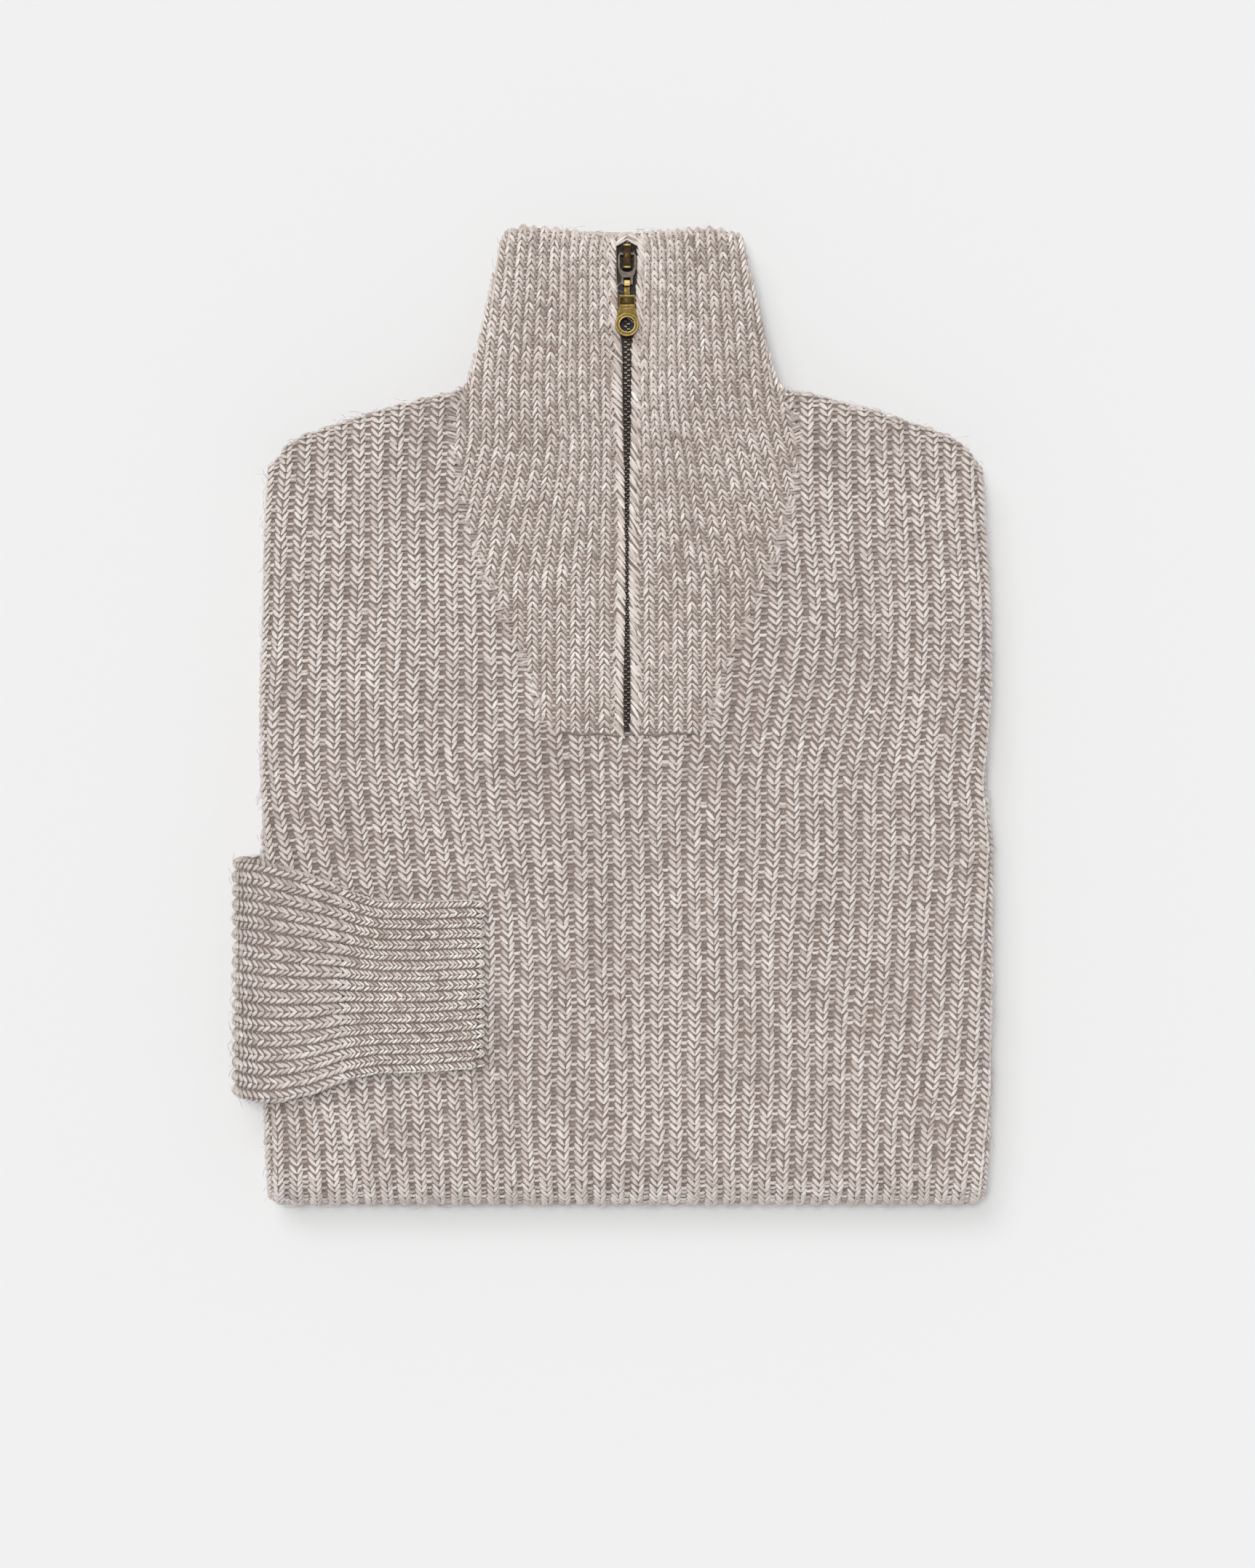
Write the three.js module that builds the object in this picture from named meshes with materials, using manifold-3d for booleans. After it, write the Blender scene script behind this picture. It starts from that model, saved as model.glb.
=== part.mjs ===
// A chunky ribbed quarter zip sweater, folded and laid flat with its front up.
// Millimetres. X runs across the front, Y up towards the collar, Z up from the resting face.
// The zip lies on x = 0, and the packet's lower half is folded underneath.

import * as THREE from 'three';
import { mergeVertices } from 'three/addons/utils/BufferGeometryUtils.js';
import Module from 'manifold-3d';

const wasm = await Module();
wasm.setup();

// The folded packet
const packHeight = 38.3;
const bodyHalf = 165.5;
const foldLineY = -165.5;
const foldRadius = packHeight / 2;
const hemY = 148;
const wall = 3;
const seamGap = 0.3;
const cutTolerance = 0.02;

// The lip where the front panel turns down at each side
const lipCorner = 9;
const lipRoll = 6;
const lipDepth = lipCorner + lipRoll;
const flatHalf = bodyHalf - lipCorner;
const shoulderRoll = 8;

// Ribs, and how far they stand out
const bodyRib = 8.7;
const bodyRibHeight = 1.3;
const collarRibLow = 6.5;
const collarRibTop = 5.15;
const collarRibHeight = 1.0;
const sleeveRibs = 17;
const sleeveRibHeight = 1.0;
const waleShare = 0.62;

// Collar and bib
const neckY = 188;
const collarDroop = 0.1;
const collarWall = 6.3;
const bibWall = 2.7;
const collarShift = -2.3;
const collarEdgeRoll = 6.1;
const collarRibs = 13;
const bibCutDepth = 12;
const zipChannel = 7;

// Zip
const tapeThick = 0.7;
const tapeTop = packHeight - bibWall - 0.2;
const tapeHalf = 5.6;
const tapeHead = 254;
const chainHalf = 1.8;
const chainLow = 0.3;
const chainHigh = 2;
const chainFoot = 33;
const sliderFoot = 53;
const sliderTop = 65;

// Half width of the bib and collar from the zip, at heights up the front
const bibOutline = [
  { y: 29.4, half: 27 },
  { y: 30.4, half: 32 },
  { y: 33.5, half: 36.5 },
  { y: 39, half: 39.4 },
  { y: 46, half: 41.4 },
  { y: 56, half: 43.5 },
  { y: 79, half: 54 },
  { y: 103, half: 65 },
  { y: 119, half: 70 },
  { y: 132, half: 74 },
  { y: 147, half: 76.7 },
  { y: 163, half: 78.6 },
  { y: 176, half: 77.6 },
  { y: 184, half: 73.2 },
  { y: 191, half: 70 },
  { y: 211, half: 64.7 },
  { y: 231, half: 60.2 },
  { y: 244, half: 57.2 },
  { y: 251, half: 56.5 },
  { y: 257, half: 54.4 },
  { y: 262, half: 51 },
];

// Opening between the two zip edges, wider where the slider and pull sit
const zipOpening = [
  { y: 29.4, half: 1.0 },
  { y: 33, half: 2.1 },
  { y: 205, half: 2.1 },
  { y: 217, half: 4.3 },
  { y: 222, half: 4.8 },
  { y: 252.8, half: 4.8 },
  { y: 256, half: 2.7 },
  { y: 258.5, half: 1.1 },
  { y: 262, half: 0.7 },
];

// Top edge of the collar, and the shoulder line, from side to side
const collarTop = [
  { x: -60, y: 257.5 },
  { x: -47, y: 261 },
  { x: -30, y: 259.6 },
  { x: -13, y: 256.8 },
  { x: 0, y: 257.6 },
  { x: 22, y: 259.2 },
  { x: 40, y: 260.2 },
  { x: 52, y: 257 },
  { x: 60, y: 254 },
];
const shoulderLine = [
  { u: 0, y: 188 },
  { u: 71, y: 188 },
  { u: 92, y: 183.5 },
  { u: 114, y: 178 },
  { u: 134, y: 171.6 },
  { u: 150, y: 166 },
  { u: 157, y: 161.5 },
  { u: 163, y: 155 },
  { u: 170, y: 149 },
  { u: 181, y: 145 },
];

// Half width of the packet down its left and right edges
const sideEdges = [
  { y: -190, left: 162.6, right: 162.4 },
  { y: -165, left: 163.6, right: 163.8 },
  { y: -135, left: 165, right: 165.6 },
  { y: -20, left: 165.8, right: 166 },
  { y: 8, left: 166, right: 162.8 },
  { y: 46, left: 166.6, right: 165.6 },
  { y: 90, left: 165.6, right: 165 },
  { y: 132, left: 164.6, right: 162.4 },
  { y: 152, left: 163.4, right: 161.4 },
  { y: 190, left: 162, right: 161 },
];

// Stations of the right sleeve, from its hidden end round the left edge onto the front.
// x, z is on its inner face, turn its direction in degrees, low and high its edges in y.
const sleeveStations = [
  { x: -122, z: 22.8, turn: 180, thick: 7.0, low: -137.5, high: -24 },
  { x: -150, z: 22.8, turn: 180, thick: 7.1, low: -138, high: -24 },
  { x: -159.5, z: 22.7, turn: 180, thick: 7.2, low: -138, high: -24 },
  { x: -162.9, z: 23.4, turn: 150, thick: 8.4, low: -138, high: -24 },
  { x: -165.5, z: 25.8, turn: 120, thick: 11.2, low: -137, high: -24.8 },
  { x: -166.5, z: 30.5, turn: 90, thick: 12.4, low: -135.4, high: -25.4 },
  { x: -165.3, z: 34.4, turn: 60, thick: 11.8, low: -137.4, high: -25.6 },
  { x: -161.6, z: 38.1, turn: 30, thick: 10.4, low: -138.6, high: -26.4 },
  { x: -156.5, z: 39.0, turn: 4, thick: 9.6, low: -138, high: -28.6 },
  { x: -142, z: 38.8, turn: 0, thick: 9.4, low: -134.6, high: -33 },
  { x: -128.5, z: 38.8, turn: 0, thick: 9.4, low: -128.6, high: -38.6 },
];
const cuffStations = [
  { x: -128.1, z: 38.8, turn: 0, thick: 9.4, low: -128.5, high: -38.8 },
  { x: -121, z: 38.8, turn: 0, thick: 9.6, low: -126.6, high: -41.8 },
  { x: -112, z: 38.8, turn: 0, thick: 9.6, low: -124.8, high: -44.4 },
  { x: -92, z: 38.8, turn: 0, thick: 9.6, low: -124.4, high: -44.8 },
  { x: -70, z: 38.8, turn: 0, thick: 9.2, low: -122.8, high: -44 },
  { x: -67.6, z: 39.8, turn: 0, thick: 7.2, low: -121.8, high: -44.8 },
];

// Levels of the hidden layers, from the lower packet up. side is the half width, head the upper end
// in y, and a head over headOfStraight follows the shoulders.
const headOfStraight = 150;
const layerLevels = [
  { z: 3.4, side: 152, head: 141 },
  { z: 4.6, side: 157, head: 145.5 },
  { z: 6.4, side: 158, head: 146.5 },
  { z: 8.4, side: 157, head: 145 },
  { z: 9.2, side: 154.5, head: 142 },
  { z: 10.0, side: 157, head: 145 },
  { z: 12.2, side: 158, head: 147 },
  { z: 14.0, side: 157, head: 145.5 },
  { z: 15.0, side: 154, head: 142 },
  { z: 15.3, side: 118, head: 138 },
  { z: 19.2, side: 116, head: 136 },
  { z: 23.0, side: 118, head: 136 },
  { z: 23.4, side: 153, head: 104 },
  { z: 24.6, side: 157, head: 108 },
  { z: 27.4, side: 157.5, head: 109 },
  { z: 30.0, side: 156, head: 107 },
  { z: 30.5, side: 156, head: 175 },
  { z: 31.8, side: 157.5, head: 177 },
  { z: 33.0, side: 156.5, head: 176.5 },
  { z: 33.8, side: 153, head: 174 },
];

const cloth = { roughness: 0.95, metalness: 0 };
const bodyWool = new THREE.MeshStandardMaterial({ color: 0xb5aba6, ...cloth });
const collarWool = new THREE.MeshStandardMaterial({ color: 0xb4a89f, ...cloth });
const innerWool = new THREE.MeshStandardMaterial({ color: 0xa89d96, ...cloth });
const zipTapeGrey = new THREE.MeshStandardMaterial({ color: 0x4a4643, roughness: 0.9, metalness: 0 });
const darkBronze = new THREE.MeshStandardMaterial({ color: 0x4d4136, roughness: 0.45, metalness: 0.9 });
const oldBrass = new THREE.MeshStandardMaterial({ color: 0x7a6330, roughness: 0.35, metalness: 1 });
const brightBrass = new THREE.MeshStandardMaterial({ color: 0xc9a550, roughness: 0.25, metalness: 1 });

const clamp = (value, low, high) => Math.min(high, Math.max(low, value));
const smooth = (t) => clamp(t, 0, 1) ** 2 * (3 - 2 * clamp(t, 0, 1));

// Reads one column of a table at a place between its rows.
function lookUp(table, key, place, column) {
  const last = table.length - 1;
  if (place <= table[0][key]) return table[0][column];
  if (place >= table[last][key]) return table[last][column];
  const next = table.findIndex((row) => row[key] >= place);
  const a = table[next - 1];
  const b = table[next];
  return a[column] + ((b[column] - a[column]) * (place - a[key])) / (b[key] - a[key]);
}

const bibHalf = (y) => lookUp(bibOutline, 'y', y, 'half');
const topEdgeY = (x) => lookUp(collarTop, 'x', x, 'y');
const shoulderY = (u) => lookUp(shoulderLine, 'u', Math.abs(u), 'y');
const shiftAt = (y) => collarShift * smooth((y - 150) / 40);

function sideScale(x, y) {
  return lookUp(sideEdges, 'y', y, x < 0 ? 'left' : 'right') / bodyHalf;
}

// The low uneven swell of folded knitwear, level beside the zip and under the sleeve.
function swell(x, y) {
  const besideZip = smooth((Math.abs(x) - 12) / 30);
  const besideSleeve = 1 - smooth((-45 - x) / 20) * smooth(-y / 20);
  const wave = 0.7 * Math.sin(x / 31 + 0.6) * Math.sin(y / 47 + 1.1) + 0.4 * Math.sin((x + y) / 23);
  return besideZip * besideSleeve * wave;
}

function droop(y) {
  return y > neckY ? (y - neckY) * collarDroop : 0;
}

// Height of a rib across its width: a flat wale with a sunk gap beside it.
function ribColumns(count) {
  const columns = [];
  for (let k = 0; k < count; k += 1) {
    columns.push({ at: k, high: 0 });
    columns.push({ at: k + (1 - waleShare) / 2 + 0.06, high: 1 });
    columns.push({ at: k + (1 + waleShare) / 2 + 0.06, high: 1 });
  }
  columns.push({ at: count, high: 0 });
  return columns;
}

function toGeometry(points, triangles) {
  const geometry = new THREE.BufferGeometry();
  geometry.setAttribute('position', new THREE.Float32BufferAttribute(points.flat(), 3));
  geometry.setIndex(triangles.flat());
  return geometry;
}

// Turns every face the other way if the body is inside out.
function facingOut(points, triangles) {
  let volume = 0;
  for (const [a, b, c] of triangles) {
    const [p, q, r] = [points[a], points[b], points[c]];
    volume += p[0] * (q[1] * r[2] - q[2] * r[1]);
    volume += p[1] * (q[2] * r[0] - q[0] * r[2]);
    volume += p[2] * (q[0] * r[1] - q[1] * r[0]);
  }
  return volume < 0 ? triangles.map(([a, b, c]) => [a, c, b]) : triangles;
}

// Joins two edges of different point counts with one strip of triangles.
function zipper(first, second) {
  const triangles = [];
  let i = 0;
  let j = 0;
  const m = first.length - 1;
  const n = second.length - 1;
  while (i < m || j < n) {
    if (j >= n || (i < m && (i + 0.5) / m <= (j + 0.5) / n)) {
      triangles.push([first[i], first[i + 1], second[j]]);
      i += 1;
    } else {
      triangles.push([first[i], second[j + 1], second[j]]);
      j += 1;
    }
  }
  return triangles;
}

function gridFaces(rows, columns, start, flip) {
  const triangles = [];
  for (let r = 0; r < rows - 1; r += 1) {
    for (let c = 0; c < columns - 1; c += 1) {
      const a = start + r * columns + c;
      const b = a + 1;
      const d = a + columns;
      const e = d + 1;
      triangles.push(flip ? [a, d, b] : [a, b, d]);
      triangles.push(flip ? [b, d, e] : [b, e, d]);
    }
  }
  return triangles;
}

// A cloth wall between a ribbed outer grid and a plainer inner grid with as many rows.
function wallSolid(outer, inner) {
  const rows = outer.length;
  const m = outer[0].length;
  const n = inner[0].length;
  const points = [...outer.flat(), ...inner.flat()];
  const start = rows * m;
  let triangles = [...gridFaces(rows, m, 0, false), ...gridFaces(rows, n, start, true)];
  const outerRow = (r) => Array.from({ length: m }, (_, c) => r * m + c);
  const innerRow = (r) => Array.from({ length: n }, (_, c) => start + r * n + c);
  triangles.push(...zipper(outerRow(0), innerRow(0)).map(([a, b, c]) => [a, c, b]));
  triangles.push(...zipper(outerRow(rows - 1), innerRow(rows - 1)));
  for (let r = 0; r < rows - 1; r += 1) {
    const [a, b] = [r * m, (r + 1) * m];
    const [c, d] = [start + r * n, start + (r + 1) * n];
    triangles.push([a, b, c], [b, d, c]);
    const [e, f] = [a + m - 1, b + m - 1];
    const [g, h] = [c + n - 1, d + n - 1];
    triangles.push([e, g, f], [f, g, h]);
  }
  triangles = facingOut(points, triangles);
  return toGeometry(points, triangles);
}

// A tube between an outer and an inner set of closed rings, open at both ends.
// far names the points of an outer and an inner ring that lie on its far edge.
function tubeSolid(outer, inner, far) {
  const rows = outer.length;
  const m = outer[0].length;
  const n = inner[0].length;
  const points = [...outer.flat(), ...inner.flat()];
  const start = rows * m;
  let triangles = [];
  for (let r = 0; r < rows - 1; r += 1) {
    for (let c = 0; c < m; c += 1) {
      const [a, b] = [r * m + c, r * m + ((c + 1) % m)];
      triangles.push([a, b, a + m], [b, b + m, a + m]);
    }
    for (let c = 0; c < n; c += 1) {
      const [a, b] = [start + r * n + c, start + r * n + ((c + 1) % n)];
      triangles.push([a, a + n, b], [b, a + n, b + n]);
    }
  }
  for (const r of [0, rows - 1]) {
    const first = Array.from({ length: m + 1 }, (_, c) => r * m + (c % m));
    const second = Array.from({ length: n + 1 }, (_, c) => start + r * n + (c % n));
    const strip = [
      ...zipper(first.slice(0, far.outer + 1), second.slice(0, far.inner + 1)),
      ...zipper(first.slice(far.outer), second.slice(far.inner)),
    ];
    triangles.push(...(r === 0 ? strip.map(([a, b, c]) => [a, c, b]) : strip));
  }
  triangles = facingOut(points, triangles);
  return toGeometry(points, triangles);
}

// A full body through closed rings with as many points, its two ends closed flat.
function ringSolid(rings) {
  const n = rings[0].length;
  const points = rings.flat();
  let triangles = [];
  for (let r = 0; r < rings.length - 1; r += 1) {
    for (let c = 0; c < n; c += 1) {
      const [a, b] = [r * n + c, r * n + ((c + 1) % n)];
      triangles.push([a, b, a + n], [b, b + n, a + n]);
    }
  }
  for (const r of [0, rings.length - 1]) {
    const middle = points.length;
    points.push([0, 1, 2].map((axis) => rings[r].reduce((sum, p) => sum + p[axis] / n, 0)));
    for (let c = 0; c < n; c += 1) {
      const [a, b] = [r * n + c, r * n + ((c + 1) % n)];
      triangles.push(r === 0 ? [middle, b, a] : [middle, a, b]);
    }
  }
  triangles = facingOut(points, triangles);
  return toGeometry(points, triangles);
}

function toManifold(geometry) {
  const bare = geometry.clone();
  bare.deleteAttribute('normal');
  bare.deleteAttribute('uv');
  const merged = mergeVertices(bare);
  const vertProperties = new Float32Array(merged.attributes.position.array);
  const triVerts = new Uint32Array(merged.index.array);
  return new wasm.Manifold(new wasm.Mesh({ numProp: 3, vertProperties, triVerts }));
}

// Edges shorter than the cut's tolerance are closed up on the way back to a geometry.
function fromManifold(solid) {
  const mesh = solid.simplify(cutTolerance).getMesh();
  const geometry = new THREE.BufferGeometry();
  geometry.setAttribute('position', new THREE.BufferAttribute(mesh.vertProperties, 3));
  geometry.setIndex(new THREE.BufferAttribute(mesh.triVerts, 1));
  return geometry;
}

function named(name, geometry, material) {
  const mesh = new THREE.Mesh(geometry, material);
  mesh.name = name;
  return mesh;
}

// The bib and collar outline, grown outwards, from side to side or for one half of the front.
function frontOutline(grow, left, right) {
  const heights = bibOutline.map((row) => row.y);
  const edge = (side) => heights.map((y) => {
    const down = y === heights[0] ? grow : 0;
    return new THREE.Vector2(shiftAt(y) + side * (bibHalf(y) + grow), y - down);
  });
  const zipEdge = (side) => [...zipOpening].map((row) => new THREE.Vector2(side * row.half, row.y));
  const rightSide = right ? edge(1) : zipEdge(-1);
  const leftSide = left ? edge(-1) : zipEdge(1);
  return [...rightSide, ...leftSide.reverse()];
}

function prism(outline, low, high) {
  const geometry = new THREE.ExtrudeGeometry(new THREE.Shape(outline), {
    depth: high - low,
    bevelEnabled: false,
  });
  geometry.translate(0, 0, low);
  return toManifold(geometry);
}

// Across the front panel: the flat, then round the lip at each side.
function lipPoint(u, inset) {
  const over = Math.abs(u) - flatHalf;
  if (over <= 0) return { x: u, depth: inset };
  const side = Math.sign(u);
  const cornerArc = (lipCorner * Math.PI) / 2;
  if (over <= cornerArc) {
    const angle = over / lipCorner;
    const radius = lipCorner - inset;
    return {
      x: side * (flatHalf + radius * Math.sin(angle)),
      depth: lipCorner - radius * Math.cos(angle),
    };
  }
  const angle = (over - cornerArc) / lipRoll;
  const radius = lipRoll - inset;
  return {
    x: side * (bodyHalf - lipRoll + radius * Math.cos(angle)),
    depth: lipCorner + radius * Math.sin(angle),
  };
}

// Along the front panel: the shoulder roll, the top, the bottom fold, the underside to the hem.
function panelRows() {
  const rows = [];
  for (const angle of [90, 60, 30]) rows.push({ kind: 'roll', angle });
  for (const share of [0, 0.09, 0.25, 0.42, 0.58, 0.75, 0.9, 1]) rows.push({ kind: 'top', share });
  for (const angle of [22, 45, 68, 90, 115, 145]) rows.push({ kind: 'fold', angle });
  for (const share of [0, 0.5, 1]) rows.push({ kind: 'under', share });
  return rows;
}

function panelPoint(u, row, inset) {
  const lip = lipPoint(u, inset);
  const side = clamp(lip.depth / lipDepth, 0, 1);
  const top = shoulderY(u);
  const roll = shoulderRoll * (1 - 0.75 * side);
  const highY = top - roll;
  let y = highY;
  let z = packHeight - lip.depth;
  if (row.kind === 'roll') {
    const angle = THREE.MathUtils.degToRad(row.angle);
    y = highY + (roll - inset) * Math.sin(angle);
    z = packHeight - lip.depth - (roll - inset) * (1 - Math.cos(angle));
  } else if (row.kind === 'top') {
    y = highY + (foldLineY - highY) * row.share;
    const edge = smooth(row.share / 0.09) * smooth((1 - row.share) / 0.1);
    z += swell(lip.x, y) * edge * (1 - side);
  } else if (row.kind === 'fold') {
    const angle = THREE.MathUtils.degToRad(row.angle);
    const radius = foldRadius - lip.depth;
    y = foldLineY - radius * Math.sin(angle);
    z = foldRadius + radius * Math.cos(angle);
  } else {
    y = foldLineY + (hemY - foldLineY) * row.share;
    z = lip.depth;
  }
  return [lip.x * sideScale(lip.x, y), y, z];
}

// The front panel, parted along the bottom fold's outermost line into its upper side and its underside.
// Nobody sees the underside, so it has no ribs.
function frontPanels() {
  const lipArc = ((lipCorner + lipRoll) * Math.PI) / 2;
  const reach = flatHalf + lipArc;
  const count = Math.round((2 * reach) / bodyRib);
  const columns = ribColumns(count).map(({ at, high }) => ({ u: (at / count) * 2 * reach - reach, high }));
  const rows = panelRows();
  const outer = rows.map((row) => {
    const plain = row.kind === 'under' || row.angle === 145;
    return columns.map(({ u, high }) => {
      const sunk = bodyRibHeight * (plain ? 0 : 1 - high);
      return panelPoint(u, row, sunk);
    });
  });
  const lipShares = [1, 0.8, 0.6, 0.42, 0.28, 0.14, 0];
  const lipColumns = lipShares.map((share) => flatHalf + lipArc * share);
  const flatColumns = [-120, -90, -60, -30, 0, 30, 60, 90, 120];
  const innerColumns = [...lipColumns.map((u) => -u), ...flatColumns, ...[...lipColumns].reverse()];
  const plainGrid = (chosen, inset) => chosen.map((row) => innerColumns.map((u) => panelPoint(u, row, inset)));
  const whole = toManifold(wallSolid(outer, plainGrid(rows, wall)));
  const opening = prism(frontOutline(seamGap, true, true), packHeight - bibCutDepth, packHeight + bibCutDepth);
  const upper = whole.subtract(opening).trimByPlane([0, 0, 1], foldRadius + seamGap / 2);
  const lowRows = rows.filter((row) => row.kind === 'fold' || row.kind === 'under');
  const low = toManifold(wallSolid(plainGrid(lowRows, 0), plainGrid(lowRows, wall)));
  const under = low.trimByPlane([0, 0, -1], seamGap / 2 - foldRadius);
  return { upper: fromManifold(upper), under: fromManifold(under) };
}

// A layer of the back that shows behind the shoulder edge.
function backPanel() {
  const rings = [];
  const stations = 30;
  const side = 148;
  const [low, high] = [23.9, 29.3];
  for (let i = 0; i <= stations; i += 1) {
    const x = -side + (2 * side * i) / stations;
    const head = Math.min(shoulderY(x), neckY - 0.5) - 0.6;
    const foot = 112;
    const middle = (low + high) / 2;
    rings.push([
      [foot, low],
      [head - 3, low],
      [head - 0.9, low + 0.9],
      [head, middle],
      [head - 0.9, high - 0.9],
      [head - 3, high],
      [foot, high],
    ].map(([y, z]) => [x * sideScale(x, y), y, z]));
  }
  return ringSolid(rings);
}

// One closed outline of the hidden layers: straight sides with rounded corners.
function layerOutline(level) {
  const ring = [];
  const corner = 14;
  const steps = 5;
  const reach = foldRadius - wall - 1.3;
  const foot = foldLineY - Math.sqrt(Math.max(0, reach ** 2 - (foldRadius - level.z) ** 2));
  const followsShoulder = level.head > headOfStraight;
  const head = (x) => (followsShoulder
    ? Math.min(level.head, shoulderY(x) - 11) - (188 - shoulderY(x)) * 0.2
    : level.head);
  const corners = [
    { x: level.side - corner, y: foot + corner, from: -90 },
    { x: level.side - corner, y: head(level.side - corner) - corner, from: 0 },
    { x: corner - level.side, y: head(level.side - corner) - corner, from: 90 },
    { x: corner - level.side, y: foot + corner, from: 180 },
  ];
  corners.forEach((c, index) => {
    for (let i = 0; i <= steps; i += 1) {
      const angle = THREE.MathUtils.degToRad(c.from + (90 * i) / steps);
      ring.push([c.x + corner * Math.cos(angle), c.y + corner * Math.sin(angle), level.z]);
    }
    if (index === 1) {
      for (const x of [120, 90, 60, 20, -20, -60, -90, -120]) {
        const spread = (x / 120) * Math.min(120, level.side - corner - 4);
        ring.push([spread, head(spread), level.z]);
      }
    }
  });
  return ring.map(([x, y, z]) => [x * sideScale(x, y), y, z]);
}

function foldedLayers() {
  return ringSolid(layerLevels.map(layerOutline));
}

// A sleeve pressed flat along one side, between the two halves of the packet.
function pressedSleeve(side, foot, head) {
  const [low, high] = [15.6, 22.7];
  const middle = (low + high) / 2;
  const inner = 119;
  const outer = 160;
  const section = [
    { x: inner, z: low },
    { x: outer - 3, z: low },
    { x: outer - 0.6, z: low + 1.2 },
    { x: outer - 1.6, z: middle },
    { x: outer - 0.6, z: high - 1.2 },
    { x: outer - 3, z: high },
    { x: inner, z: high },
  ];
  const ends = [
    { y: foot, in: 3 },
    { y: foot + 3, in: 0.4 },
    { y: foot + (head - foot) * 0.5, in: 0 },
    { y: head - 4, in: 0.4 },
    { y: head, in: 4 },
  ];
  return ringSolid(ends.map((end) => section.map((p) => {
    const narrow = p.x > inner ? end.in : 0;
    return [side * (p.x - narrow), end.y, p.z];
  })));
}

// A flattened ribbed tube through stations: ribs on the outer face, a narrow slit inside.
function flatTube(stations, ribs, ribHeight) {
  const slit = 1.2;
  const across = 8;
  const columns = ribColumns(ribs);
  const outerRings = [];
  const innerRings = [];
  for (const s of stations) {
    const angle = THREE.MathUtils.degToRad(s.turn);
    const normal = { x: -Math.sin(angle), z: Math.cos(angle) };
    const half = s.thick / 2;
    const place = (y, off) => [s.x + normal.x * (half + off), y, s.z + normal.z * (half + off)];
    const round = Math.min(half, 5);
    const ring = [];
    for (const { at, high } of columns) {
      const t = at / ribs;
      const y = s.low + (s.high - s.low) * t;
      const edge = Math.min(y - s.low, s.high - y);
      const drop = edge < round ? round - Math.sqrt(Math.max(0, round ** 2 - (round - edge) ** 2)) : 0;
      ring.push(place(y, half - drop - ribHeight * (1 - high) * (edge < 1 ? 0 : 1)));
    }
    const under = 10;
    for (let i = 1; i < under; i += 1) {
      const t = 1 - i / under;
      const y = s.low + (s.high - s.low) * t;
      const edge = Math.min(y - s.low, s.high - y);
      const drop = edge < round ? (round - edge) * 0.25 : 0;
      ring.push(place(y, -half + drop));
    }
    outerRings.push(ring);
    const margin = 5;
    const inside = [];
    for (let i = 0; i <= across; i += 1) {
      inside.push(place(s.low + margin + ((s.high - s.low - 2 * margin) * i) / across, slit / 2));
    }
    for (let i = across; i >= 0; i -= 1) {
      inside.push(place(s.low + margin + ((s.high - s.low - 2 * margin) * i) / across, -slit / 2));
    }
    innerRings.push(inside);
  }
  return tubeSolid(outerRings, innerRings, { outer: columns.length - 1, inner: across });
}

// How far a rounded collar edge has dropped at a distance in from the edge.
function rollDrop(near) {
  return collarEdgeRoll - Math.sqrt(collarEdgeRoll ** 2 - (collarEdgeRoll - near) ** 2);
}

// One half of the collar with its half of the bib. side is -1 for the left, 1 for the right.
function collarFront(side) {
  const columns = ribColumns(collarRibs).filter(({ at }) => at > 0);
  const heights = [29, 31, 36, 48, 78, 110, 142, 172, 184, 189, 205, 222, 240, 251, 256];
  const topRows = 2;
  const topBand = 4;
  const outer = [];
  const inner = [];
  const heightAt = (x, y, sunk) => {
    const fold = smooth((y - 182) / 8);
    const toSide = bibHalf(y) - Math.abs(x - shiftAt(y));
    const toTop = topEdgeY(x) - y;
    const near = clamp(Math.min(toSide, toTop + 0.6), 0, collarEdgeRoll);
    const drop = fold * rollDrop(near);
    const shallow = sunk * (1 - fold * (1 - smooth(near / 3)));
    return packHeight + swell(x, y) * (1 - fold) - droop(y) - drop - shallow;
  };
  const underAt = (x, y) => {
    const thick = smooth((y - 184) / 5) * smooth((Math.abs(x) - zipChannel) / 0.8);
    return packHeight - droop(y) - bibWall - (collarWall - bibWall) * thick;
  };
  const lastFixed = heights[heights.length - 1];
  const rowY = (row, x) => {
    const full = topEdgeY(x) + 0.5;
    if (row < heights.length) {
      const y = heights[row];
      return y < 240 ? y : 240 + ((y - 240) * (full - topBand - 240)) / (lastFixed - 240);
    }
    return full - topBand + topBand * (row - heights.length + 1) / topRows;
  };
  const rowCount = heights.length + topRows;
  for (let row = 0; row < rowCount; row += 1) {
    const guide = rowY(row, side * 30);
    const pitch = collarRibLow + (collarRibTop - collarRibLow) * clamp((guide - 150) / 108, 0, 1);
    const start = side * 0.4;
    const outerRow = [[start, rowY(row, start), heightAt(start, rowY(row, start), 0)]];
    for (const { at, high } of columns) {
      const x = side * (at * pitch) + shiftAt(guide) * clamp(at / 4, 0, 1);
      const y = rowY(row, x);
      outerRow.push([x, y, heightAt(x, y, collarRibHeight * (1 - high))]);
    }
    outer.push(outerRow);
    const innerRow = [];
    const reach = collarRibs * pitch + side * shiftAt(guide);
    for (const offset of [0.4, zipChannel, zipChannel + 0.8, reach * 0.4, reach * 0.7, reach]) {
      const x = side * offset;
      const y = rowY(row, x);
      innerRow.push([x, y, underAt(x, y)]);
    }
    inner.push(innerRow);
  }
  const whole = toManifold(wallSolid(outer, inner));
  const outline = frontOutline(0, side < 0, side > 0);
  return fromManifold(whole.intersect(prism(outline, 0, 2 * packHeight)));
}

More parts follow.
